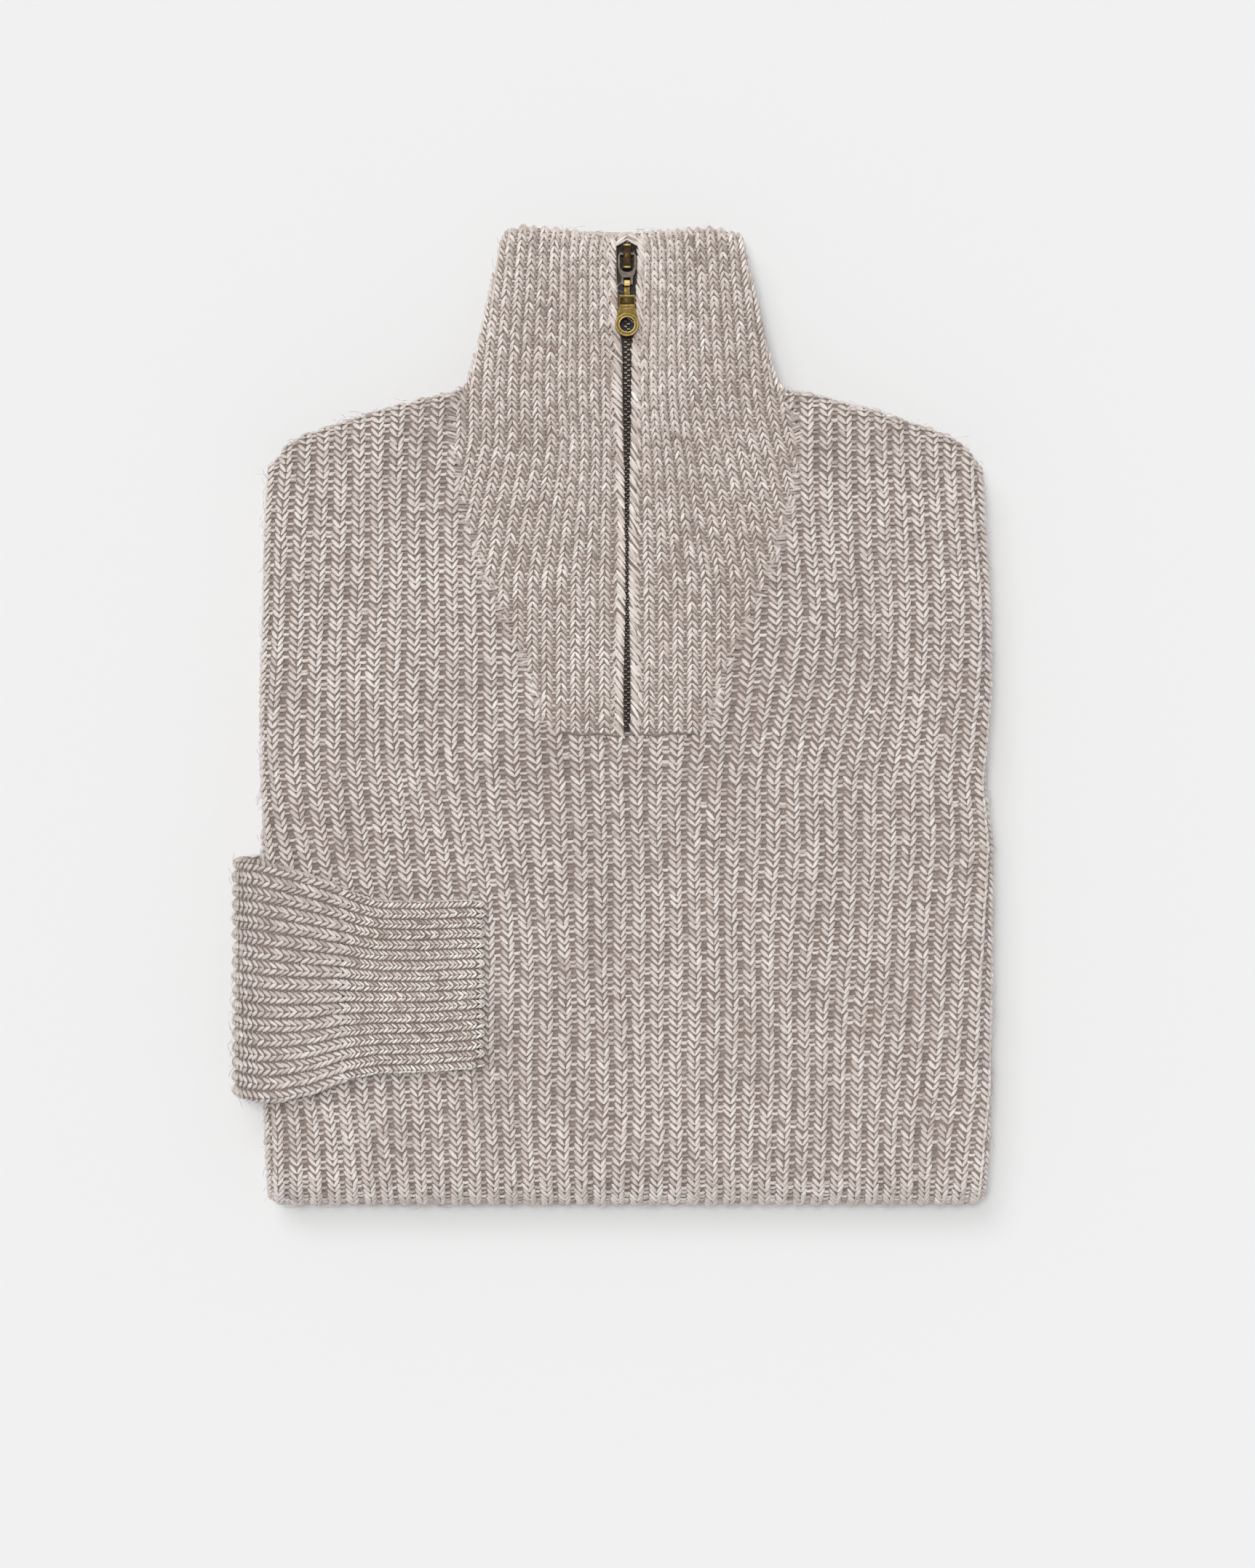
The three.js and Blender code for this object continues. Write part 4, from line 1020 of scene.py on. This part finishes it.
collarPieces = {}
for side, tag in sides:
    cloth = collarHalf(side, f"collarCloth{tag}")
    loops = collarStitches(side)
    legs = layKnit(f"collarStitches{tag}", loops, ["left", "right"], collarYarn,
                   Seed=7, Arch=0.12, Uneven=0.07)
    purl = layKnit(f"collarPurl{tag}", loops, ["purl"], collarYarn, Seed=8, Sides=4, Bend=0.3, Uneven=0.1)
    edge = zipEdgeStrands(side, np.random.default_rng(collar["seed"] + 40 + side))
    border = layStrands(f"zipBorder{tag}", *edge, collarYarn, Seed=12, Arch=0.14, Uneven=0.1)
    collarPieces[side] = (cloth, legs, purl, border)
print("collar knitted")


# The right sleeve round the edge of the packet, and its cuff: ribs run along the tube, which is hollow
# down a flat slit
def tubeShell(name, stations, tube):
    ribs = tube["ribs"]
    runs = stationRuns(stations)
    along = np.unique(np.concatenate([runs, np.linspace(0, runs[-1], tube["steps"])]))
    t = np.arange(ribs * tube["perRib"] + 1) / (ribs * tube["perRib"])
    sunk = tube["relief"] * (1 - ribHigh(t * ribs)) + tube["sink"]
    rings, slit = [], []
    for run in along:
        top = tubePlace(stations, run, t, -sunk)
        x, z, turn, thick, low, high = (float(v) for v in stationAt(stations, run))
        n = np.array([-math.sin(math.radians(turn)), 0, math.cos(math.radians(turn))])
        base = np.array([x, 0, z])
        middle, flat = (low + high) / 2, (high - low) / 2 - 6
        under = [base + n * (thick * 0.1 if abs(y - middle) > flat else 0.0) + (0, y, 0)
                 for y in np.linspace(high, low, 11)[1:-1]]
        rings.append(np.concatenate([top, under]))
        inside = np.linspace(low + 4.5, high - 4.5, 12)
        slit.append([base + n * (thick / 2 + 0.6) + (0, y, 0) for y in inside]
                    + [base + n * (thick / 2 - 0.6) + (0, y, 0) for y in inside[::-1]])
    rings, slit = np.array(rings), np.array(slit)
    rows, m = rings.shape[:2]
    n = slit.shape[1]
    start = rows * m
    faces = []
    for r in range(rows - 1):
        for c in range(m):
            a, b = r * m + c, r * m + (c + 1) % m
            faces.append((a, b, b + m, a + m))
        for c in range(n):
            a, b = start + r * n + c, start + r * n + (c + 1) % n
            faces.append((a, a + n, b + n, b))
    far = len(t) - 1
    for r in (0, rows - 1):
        first = [r * m + c % m for c in range(m + 1)]
        second = [start + r * n + c % n for c in range(n + 1)]
        faces += zipper(first[:far + 1], second[:n // 2]) + zipper(first[far:], second[n // 2 - 1:])
    return closedPiece(name, np.concatenate([rings.reshape(-1, 3), slit.reshape(-1, 3)]), faces, gapShadeCloth)


# The first row of stitches is set in from the start of the tube, and the last lies past its end
sleeve = {
    "ribs": 17,
    "row": 2.9,
    "relief": 1.7,
    "sink": 0.3,
    "perRib": 4,
    "steps": 22,
    "first": 24,
    "past": 1.2,
    "seed": 31,
}
cuff = {**sleeve, "row": 2.1, "relief": 2.0, "steps": 18, "first": 0.2, "past": 3.9, "seed": 37}
tubeKnit = {
    "upper": {"from": (0.95, -1.9, -0.9), "to": (0.58, 1.9, 0.75), "width": 1.9, "flat": 0.9,
              "tone": 0.5, "spread": 0.09},
    "lower": {"from": (0.17, -1.9, -0.9), "to": (0.52, 1.9, 0.75), "width": 1.9, "flat": 0.9,
              "tone": 0.55, "spread": 0.09},
    # the purl arcs sink deep into the gaps; their low tone is painted shade, with the marl's own spread on
    # top
    "purl": {"from": (-0.05, -0.2, -1.7), "to": (0.15, -0.2, -1.7), "width": 1.1, "flat": 0.9,
             "tone": 0.2, "spread": 0.08},
}


def scaledKnit(knit, across, along):
    legs = {}
    for part, leg in knit.items():
        ends = {key: (leg[key][0], leg[key][1] * along, leg[key][2]) for key in ("from", "to")}
        legs[part] = {**leg, **ends, "width": leg["width"] * across}
    return legs


def tubeStitches(stations, tube, knit):
    def place(k, run, h):
        return tubePlace(stations, run, np.clip(k / tube["ribs"], 0.001, 0.999), h)

    def keep(k, run):
        return np.isfinite(run)

    rows = np.arange(tube["first"], stationRuns(stations)[-1] + tube["past"], tube["row"])
    return knitLoops(place, tube["ribs"], rows, knit, keep, np.random.default_rng(tube["seed"]))


sleeveCloth = tubeShell("sleeveCloth", sleeveStations, sleeve)
loops = tubeStitches(sleeveStations, sleeve, tubeKnit)
sleeveKnit = layKnit("sleeveStitches", loops, ["upper", "lower", "purl"], bodyYarn,
                     Seed=9, Arch=0.12, Uneven=0.07)
cuffCloth = tubeShell("cuffCloth", cuffStations, cuff)
cuffKnit = scaledKnit(tubeKnit, 0.68, 0.62)
cuffKnit["upper"].update(tone=0.59, spread=0.16)
cuffKnit["lower"].update(tone=0.77, spread=0.16)
loops = tubeStitches(cuffStations, cuff, cuffKnit)
cuffLoops = layKnit("cuffStitches", loops, ["upper", "lower"], collarYarn, Seed=10, Arch=0.12, Uneven=0.07)
print("sleeve and cuff knitted")


# Hidden cloth: the back half of the collar, the back panel, the pressed sleeves and the core of layers
def collarBackPiece():
    shares = np.concatenate([np.linspace(0, 0.86, 14), [0.92, 0.96, 1]])
    footY = pack["neckY"] + 0.5
    roll = collarRib["edgeRoll"]
    rings = []
    for share in shares:
        closing = (share - 0.9) * 22 if share > 0.9 else 0
        guide = footY + share * (257.5 - footY)
        half = float(bibHalf(guide)) - 0.4

        def place(t, under):
            x = float(shiftAt(guide)) + half * t
            y = footY + share * (float(topEdge(x)) - 1.4 - footY)
            near = min(max(half * (1 - abs(t)), 0), roll)
            rounded = roll - math.sqrt(max(roll**2 - (roll - near) ** 2, 0))
            top = pack["height"] - pack["collarWall"] - 0.3 - float(droop(y))
            low = top - 6.3 + min(rounded + closing, 5.9)
            rib = 0.8 * (1 - float(ribHigh(abs(half * t) / 5.8))) * min(1, near / 4)
            return (x, y, low + rib if under else top)

        rings.append([place(-math.cos(i / 96 * math.pi), True) for i in range(97)]
                     + [place(t, False) for t in (0.8, 0.4, 0, -0.4, -0.8)])
    return ringPiece("collarBackCloth", rings, hiddenCloth)


def backPanelPiece():
    low, high = 23.9, 29.3
    half, steps = 148, 180
    rings = []
    for i in range(steps + 1):
        x = -half + 2 * half * i / steps
        rib = 0.7 * (1 - float(ribHigh(x / body["rib"] + 0.3)))
        head = min(float(shoulderY(x)), pack["neckY"] - 0.5) - 0.6 - rib
        section = [(112, low), (head - 3, low + rib), (head - 0.9, low + 0.9), (head, (low + high) / 2),
                   (head - 0.9, high - 0.9), (head - 3, high), (112, high)]
        rings.append([(x * float(sideScale(x, y)), y, z) for y, z in section])
    return ringPiece("backCloth", rings, hiddenCloth)


def pressedSleevePiece(name, side, foot, head):
    low, high = 15.6, 22.7
    section = [(119, low), (157, low), (159.4, low + 1.2), (158.4, low + 3.0), (157.6, (low + high) / 2),
               (158.4, high - 3.0), (159.4, high - 1.2), (157, high), (119, high)]
    ends = [(foot, 3), (foot + 3, 0.4)] + [(y, 0) for y in np.linspace(foot + 6, head - 8, 12)]
    ends += [(head - 4, 0.4), (head, 4)]
    rings = [[(side * (x - (tight if x > 119 else 0)), y, z) for x, z in section] for y, tight in ends]
    return ringPiece(name, rings, hiddenCloth)


# Levels up through the folded layers: height, half the width, and where the head ends
layerLevels = [
    (3.4, 152, 141), (4.6, 157, 145.5), (6.4, 158, 146.5), (8.4, 157, 145), (9.2, 154.5, 142),
    (10.0, 157, 145), (12.2, 158, 147), (14.0, 157, 145.5), (15.0, 154, 142), (15.3, 118, 138),
    (19.2, 116, 136), (23.0, 118, 136), (23.4, 153, 104), (24.6, 157, 108), (27.4, 157.5, 109),
    (30.0, 156, 107), (30.5, 156, 175), (31.8, 157.5, 177), (33.0, 156.5, 176.5), (33.8, 153, 174),
]


def layersPiece():
    corner, reach = 14, foldRadius - pack["wall"] - 1.3
    rings = []
    for z, side, headY in layerLevels:
        foot = pack["foldY"] - math.sqrt(max(0, reach**2 - (foldRadius - z) ** 2))

        def head(x):
            if headY <= 150:
                return headY
            return min(headY, float(shoulderY(x)) - 11) - (188 - float(shoulderY(x))) * 0.2

        ring = []
        cornerX, footCorner, headCorner = side - corner, foot + corner, head(side - corner) - corner
        corners = [(cornerX, footCorner, -90), (cornerX, headCorner, 0),
                   (-cornerX, headCorner, 90), (-cornerX, footCorner, 180)]
        for index, (cx, cy, start) in enumerate(corners):
            for i in range(7):
                angle = math.radians(start + 90 * i / 6)
                ring.append((cx + corner * math.cos(angle), cy + corner * math.sin(angle), z))
            if index == 1:
                for x in np.linspace(1, -1, 40):
                    spread = x * min(120, side - corner - 4)
                    rib = 0.6 * (1 - float(ribHigh(spread / body["rib"])))
                    ring.append((spread, head(spread) - rib, z))
        rings.append([(x * float(sideScale(x, y)), y, z) for x, y, z in ring])
    return ringPiece("layersCloth", rings, hiddenCloth)


collarBack = collarBackPiece()
backCloth = backPanelPiece()
sleeveLeft = pressedSleevePiece("sleeveLeftCloth", 1, -150, 134)
sleeveTop = pressedSleevePiece("sleeveRightTopCloth", -1, -22.5, 134)
layers = layersPiece()
print("hidden layers made")


# Loose hairs of wool that lie over the cloth and stand off its edges
fuzz = {
    "body": 3000,
    "collar": 700,
    "sleeve": 260,
    "cuff": 200,
    "long": (2.5, 6.5),
    "foot": (0.5, 1.2),
    "lift": (-0.2, 2.0),
    "thick": 0.16,
    "seed": 71,
}


def hairs(name, place, k, s, chance):
    n = len(k)
    turn = chance.uniform(0, 2 * math.pi, n)
    long = chance.uniform(*fuzz["long"], n)
    a = place(k, s, chance.uniform(*fuzz["foot"], n))
    lift = place(k, s, 1.0) - place(k, s, 0.0)
    lift /= np.linalg.norm(lift, axis=1)[:, None]
    flat = np.stack([np.cos(turn), np.sin(turn), np.zeros(n)], axis=1)
    flat -= (flat * lift).sum(1)[:, None] * lift
    b = a + flat * long[:, None] + lift * chance.uniform(*fuzz["lift"], n)[:, None]
    tone = np.clip(chance.normal(0.7, 0.12, n), 0.1, 0.98)
    return layStrands(name, a, b, lift, fuzz["thick"], fuzz["thick"], tone, bodyYarn,
                      Seed=14, Sides=3, Segments=2, Arch=2.5, Uneven=0.25)


def tubeHairs(name, stations, count, runs, chance):
    def place(t, run, h):
        return tubePlace(stations, run, t, h)

    t = chance.uniform(0.01, 0.99, count)
    return hairs(name, place, t, chance.uniform(*runs, count), chance)


chance = np.random.default_rng(fuzz["seed"])
k = chance.uniform(0, bodyRibs, 4 * fuzz["body"])
s = chance.uniform(-28, 360, 4 * fuzz["body"])
shown = np.flatnonzero(onBody(k, s))[: fuzz["body"]]
bodyFuzz = hairs("bodyFuzz", bodyPlace, k[shown], s[shown], chance)
collarFuzz = {}
for side, tag in sides:
    y = chance.uniform(32, 262, fuzz["collar"])
    k = chance.uniform(0.6, collar["ribs"], fuzz["collar"])
    x = collarX(side, k, y)
    shown = np.abs(x - shiftAt(y)) < bibHalf(y) + 2 * freeCollar(y)
    collarFuzz[side] = hairs(f"collarFuzz{tag}", partial(collarPlace, side), k[shown], y[shown], chance)
sleeveFuzz = tubeHairs("sleeveFuzz", sleeveStations, fuzz["sleeve"], (45, 112), chance)
cuffFuzz = tubeHairs("cuffFuzz", cuffStations, fuzz["cuff"], (0, 63), chance)
print("loose hairs laid")


# The zip's metals are darker in the hollows of their wear
def metalMaterial(name, dark, light, rough):
    material, nodes, links, shader = newMaterial(name)
    place = nodes.new("ShaderNodeTexCoord")
    wear = noiseNode(nodes, links, place.outputs["Object"], 700.0, 4.0, 0.6)
    colourBy(nodes, links, shader, wear.outputs["Fac"], [(0.3, dark), (0.7, light)])
    bumpBy(nodes, links, shader, wear.outputs["Fac"], 0.25, 0.0001)
    shader.inputs["Metallic"].default_value = 1.0
    shader.inputs["Roughness"].default_value = rough
    return material


bronze = metalMaterial("dark bronze", (0.012, 0.01, 0.008), (0.04, 0.032, 0.025), 0.4)
greyBronze = metalMaterial("grey bronze", (0.07, 0.057, 0.045), (0.15, 0.122, 0.1), 0.36)
brass = metalMaterial("antique brass", (0.07, 0.047, 0.013), (0.19, 0.125, 0.036), 0.36)
toothBronze = metalMaterial("bronze teeth", (0.1, 0.082, 0.068), (0.21, 0.172, 0.145), 0.35)
brownBrass = metalMaterial("brown brass", (0.04, 0.027, 0.011), (0.11, 0.072, 0.028), 0.38)
wornBrass = metalMaterial("worn brass edges", (0.3, 0.22, 0.08), (0.55, 0.42, 0.18), 0.3)
brightBrass = metalMaterial("bright brass", (0.6, 0.42, 0.13), (0.85, 0.65, 0.28), 0.22)
tapeColours = [(0.0, (0.02, 0.019, 0.018)), (1.0, (0.09, 0.085, 0.08))]
tapeCloth = clothMaterial("zip tape", {"colours": tapeColours, "rows": 300.0})


# A smoothed copy of a solid of the frame, its edges rounded, that stands for it
def roundedCopy(node, name, material, width):
    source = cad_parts[node]
    piece = bpy.data.objects.new(name, source.data.copy())
    bpy.context.scene.collection.objects.link(piece)
    outward(piece)
    piece.data.materials.clear()
    piece.data.materials.append(material)
    bevel = piece.modifiers.new("edges", "BEVEL")
    bevel.width = width * mm
    bevel.segments = 2
    bevel.limit_method = "ANGLE"
    bevel.angle_limit = math.radians(32)
    settle(piece)
    return piece


tape = roundedCopy("zip_tape", "zipTape", tapeCloth, 0.1)
slider = roundedCopy("zip_slider", "slider", bronze, 0.25)
plate = roundedCopy("pull_plate", "pullPlate", greyBronze, 0.2)
link = roundedCopy("pull_link", "pullLink", brightBrass, 0.25)
tab = roundedCopy("pull_tab", "pullTab", brass, 0.25)


# A place in the collar's sloping plane, where the pull was drawn
def pullPlace(x, y, z):
    tilt = math.atan(pack["droop"])
    return (x, pack["neckY"] + y * math.cos(tilt) + z * math.sin(tilt),
            tapeTop - y * math.sin(tilt) + z * math.cos(tilt))


# Raised bars and rings of worn metal, each a strip along a line in that plane: the line, half the
# strip's width, its foot, its top, and whether it closes on itself
def raisedStrips(name, lines, material):
    points, faces = [], []
    for line, half, low, high, closed in lines:
        n, start = len(line), len(points)
        edge = high - 0.12
        section = [(-1, low), (-1, edge), (-0.5, high), (0.5, high), (1, edge), (1, low)]
        for i, (x, y) in enumerate(line):
            ax, ay = line[(i - 1) % n] if closed else line[max(i - 1, 0)]
            bx, by = line[(i + 1) % n] if closed else line[min(i + 1, n - 1)]
            run = math.hypot(bx - ax, by - ay)
            sx, sy = -(by - ay) / run * half, (bx - ax) / run * half
            points += [pullPlace(x + sx * across, y + sy * across, z) for across, z in section]
        for i in range(n if closed else n - 1):
            a, b = start + 6 * i, start + 6 * ((i + 1) % n)
            faces += [(a + c, a + (c + 1) % 6, b + (c + 1) % 6, b + c) for c in range(6)]
        if not closed:
            faces += [[start + c for c in range(6)], [start + 6 * (n - 1) + c for c in range(6)][::-1]]
    return closedPiece(name, points, faces, material)


# Where the pull's ring, block and bridge lie, along the collar from the neck
pull = {
    "ring": 27.3,
    "rim": 5.0,
    "hole": 3.65,
    "face": 6.3,
    "block": (35.7, 40.7),
    "half": 3.5,
    "bridge": (53.8, 64.0),
    "bridgeHalf": 1.6,
    "bridgeTop": 6.4,
}
face, half, bridgeTop = pull["face"], pull["half"], pull["bridgeTop"]
blockLow, blockHigh = pull["block"]
bridgeLow, bridgeHigh = pull["bridge"]


def ringLine(radius):
    angles = [i * math.pi / 18 for i in range(36)]
    return [(radius * math.cos(a), pull["ring"] + radius * math.sin(a)) for a in angles]


def crossLine(half, y):
    return [(-half, y), (half, y)]


tabTrim = raisedStrips("pullTabTrim", [
    (ringLine(pull["rim"]), 0.22, face - 0.4, face + 0.16, True),
    (ringLine(pull["hole"]), 0.3, face - 0.4, face + 0.3, True),
    (crossLine(half, blockHigh - 0.2), 0.3, face - 0.4, face + 0.2, False),
    (crossLine(half, blockLow + 0.3), 0.3, face - 0.4, face + 0.2, False),
    (crossLine(half, blockLow - 1.2), 0.22, face - 0.4, face + 0.1, False),
], wornBrass)
bridgeEnds = raisedStrips("bridgeEnds", [
    (crossLine(pull["bridgeHalf"], y), 0.5, bridgeTop - 0.5, bridgeTop + 0.12, False) for y in pull["bridge"]
], wornBrass)
bridgeLine = [(0, bridgeLow + 0.6), (0, bridgeHigh - 0.6)]
bridgeBar = raisedStrips("bridgeBar", [
    (bridgeLine, pull["bridgeHalf"], bridgeTop - 0.4, bridgeTop + 0.05, False),
], brownBrass)
tabFace = raisedStrips("pullTabFace", [
    (crossLine(half - 0.3, (blockLow + blockHigh) / 2), 1.7, face - 0.4, face + 0.1, False),
], brownBrass)

# The chain: two rows of teeth that mesh, along the zip's line
chain = {
    "pitch": 2.36,
    "foot": 33.5,
    "head": 239.0,
    "low": 0.3,
    "high": 2.0,
    "root": 0.7,
    "wide": 1.1,
    "outline": [(-0.35, -0.42), (0.5, -0.55), (1.75, -0.36), (1.75, 0.36), (0.5, 0.55), (-0.35, 0.42)],
}


def chainTeeth():
    count = int((chain["head"] - chain["foot"]) / chain["pitch"])
    outline, root, high = chain["outline"], chain["root"], chain["high"]
    n = len(outline)
    points, faces = [], []
    for i in range(count):
        for side in (-1, 1):
            y = chain["foot"] + (i + (0.5 if side > 0 else 0)) * chain["pitch"]
            start = len(points)
            for z, grow in ((chain["low"], 1), (high - 0.3, 1), (high, 0.7)):
                for px, py in outline:
                    x = side * (root + (px - root) * grow)
                    points.append((x, y + py * grow * chain["wide"], tapeTop + z - float(droop(y + py))))
            for level in range(2):
                for c in range(n):
                    a, b = start + level * n + c, start + level * n + (c + 1) % n
                    faces.append((a, b, b + n, a + n))
            faces.append([start + c for c in range(n)][::-1])
            faces.append([start + 2 * n + c for c in range(n)])
    return closedPiece("zipTeeth", points, faces, toothBronze, rounded=False)


teeth = chainTeeth()
stops = [roundedCopy(f"top_stop_{tag}", f"topStop{tag.title()}", bronze, 0.2) for tag in ("left", "right")]
print("zip made")


# What rides on what, and what stands for which solid
frontStitches = [frontLeft, frontRight, frontPurl, bibSeam, bodyFuzz]
for side in (-1, 1):
    collarPieces[side] += (collarFuzz[side],)
replacing = [
    (frontCloth, ["front_panel", "front_panel_under"], "body_wool", frontStitches),
    (backCloth, ["back_panel"], "body_wool", []),
    (layers, ["folded_layers"], "inner_wool", []),
    (sleeveLeft, ["sleeve_left"], "body_wool", []),
    (sleeveTop, ["sleeve_right_top"], "body_wool", []),
    (sleeveCloth, ["sleeve_right"], "body_wool", [sleeveKnit, sleeveFuzz]),
    (cuffCloth, ["cuff_right"], "cuff_wool", [cuffLoops, cuffFuzz]),
    (collarPieces[-1][0], ["collar_front_left"], "collar_wool", list(collarPieces[-1][1:])),
    (collarPieces[1][0], ["collar_front_right"], "collar_wool", list(collarPieces[1][1:])),
    (collarBack, ["collar_back"], "collar_wool", []),
    (tape, ["zip_tape"], "zip_tape", []),
    (teeth, ["zip_chain"], "zip_metal", []),
    (slider, ["zip_slider"], "zip_metal", [bridgeEnds, bridgeBar]),
    (stops[0], ["top_stop_left"], "zip_metal", []),
    (stops[1], ["top_stop_right"], "zip_metal", []),
]
for piece, nodes, slotName, others in replacing:
    for each in [piece, *others]:
        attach(each, "garment")
    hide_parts(*nodes)
for piece, node, bodyName, slotName in ((plate, "pull_plate", "plate", "zip_metal"),
                                        (link, "pull_link", "tab", "link_brass"),
                                        (tab, "pull_tab", "tab", "pull_brass")):
    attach(piece, bodyName)
    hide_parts(node)
for piece in (tabTrim, tabFace):
    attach(piece, "tab")

# Floor, light and camera
reach = 2500
floorCorners = [(-reach, -reach, 0), (reach, -reach, 0), (reach, reach, 0), (-reach, reach, 0)]
floor = newMesh("floor", floorCorners, [(0, 1, 2, 3)])
paper, nodes, links, shader = newMaterial("pale floor")
shader.inputs["Base Color"].default_value = (0.7, 0.7, 0.7, 1)
shader.inputs["Roughness"].default_value = 0.9
shader.inputs["Specular IOR Level"].default_value = 0.0
floor.data.materials.append(paper)

lights = {
    "overhead": {"from": (-0.06, 0.08, 1), "angle": 15, "strength": 2.15, "glossy": False},
    "window": {"from": (-0.28, 0.5, 1), "angle": 28, "strength": 0.86, "glossy": True},
}
roomLight = {"strength": 0.33, "inMetal": 0.7}  # metal mirrors a brighter room than lights the wool
for name, light in lights.items():
    lamp = bpy.data.lights.new(name, "SUN")
    lamp.angle = math.radians(light["angle"])
    lamp.energy = light["strength"]
    holder = bpy.data.objects.new(name, lamp)
    holder.visible_glossy = light["glossy"]
    holder.rotation_euler = Vector(light["from"]).to_track_quat("Z", "Y").to_euler()
    bpy.context.scene.collection.objects.link(holder)
world = bpy.data.worlds.new("studio")
world.use_nodes = True
nodes, links = world.node_tree.nodes, world.node_tree.links
rays = nodes.new("ShaderNodeLightPath")
room = nodes["Background"]
room.inputs["Color"].default_value = (1.0, 1.0, 1.0, 1)
inMetal = mathNode(nodes, links, "MULTIPLY", rays.outputs["Is Glossy Ray"], roomLight["inMetal"])
links.new(mathNode(nodes, links, "ADD", inMetal, roomLight["strength"]), room.inputs["Strength"])
bpy.context.scene.world = world
bpy.context.scene.view_settings.view_transform = "Standard"  # plain product photo colours

view = {"centre": (0.2, 7.3), "across": 711.5, "level": 38.0, "away": 2400.0}
lens = bpy.data.cameras.new("camera")
lens.sensor_fit = "VERTICAL"
lens.sensor_height = 36.0
lens.lens = 18.0 * (view["away"] - view["level"]) / (view["across"] / 2)
lens.clip_end = 20
camera = bpy.data.objects.new("camera", lens)
camera.location = (view["centre"][0] * mm, view["centre"][1] * mm, view["away"] * mm)
bpy.context.scene.collection.objects.link(camera)
bpy.context.scene.camera = camera
print("floor, light and camera set")

# The cut of what shows, all round on the sleeve and cuff
sheets = [
    (frontCloth, (0.36, 0.735), 0.243, frontStitches),
    (collarPieces[-1][0], (0.08, 0.232), 0.0158, list(collarPieces[-1][1:])),
    (collarPieces[1][0], (0.08, 0.232), 0.0155, list(collarPieces[1][1:])),
    (sleeveCloth, (0.228, 0.1), None, [sleeveKnit, sleeveFuzz]),
    (cuffCloth, (0.164, 0.063), None, [cuffLoops, cuffFuzz]),
]
for piece, flat, area, others in sheets:
    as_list(others)
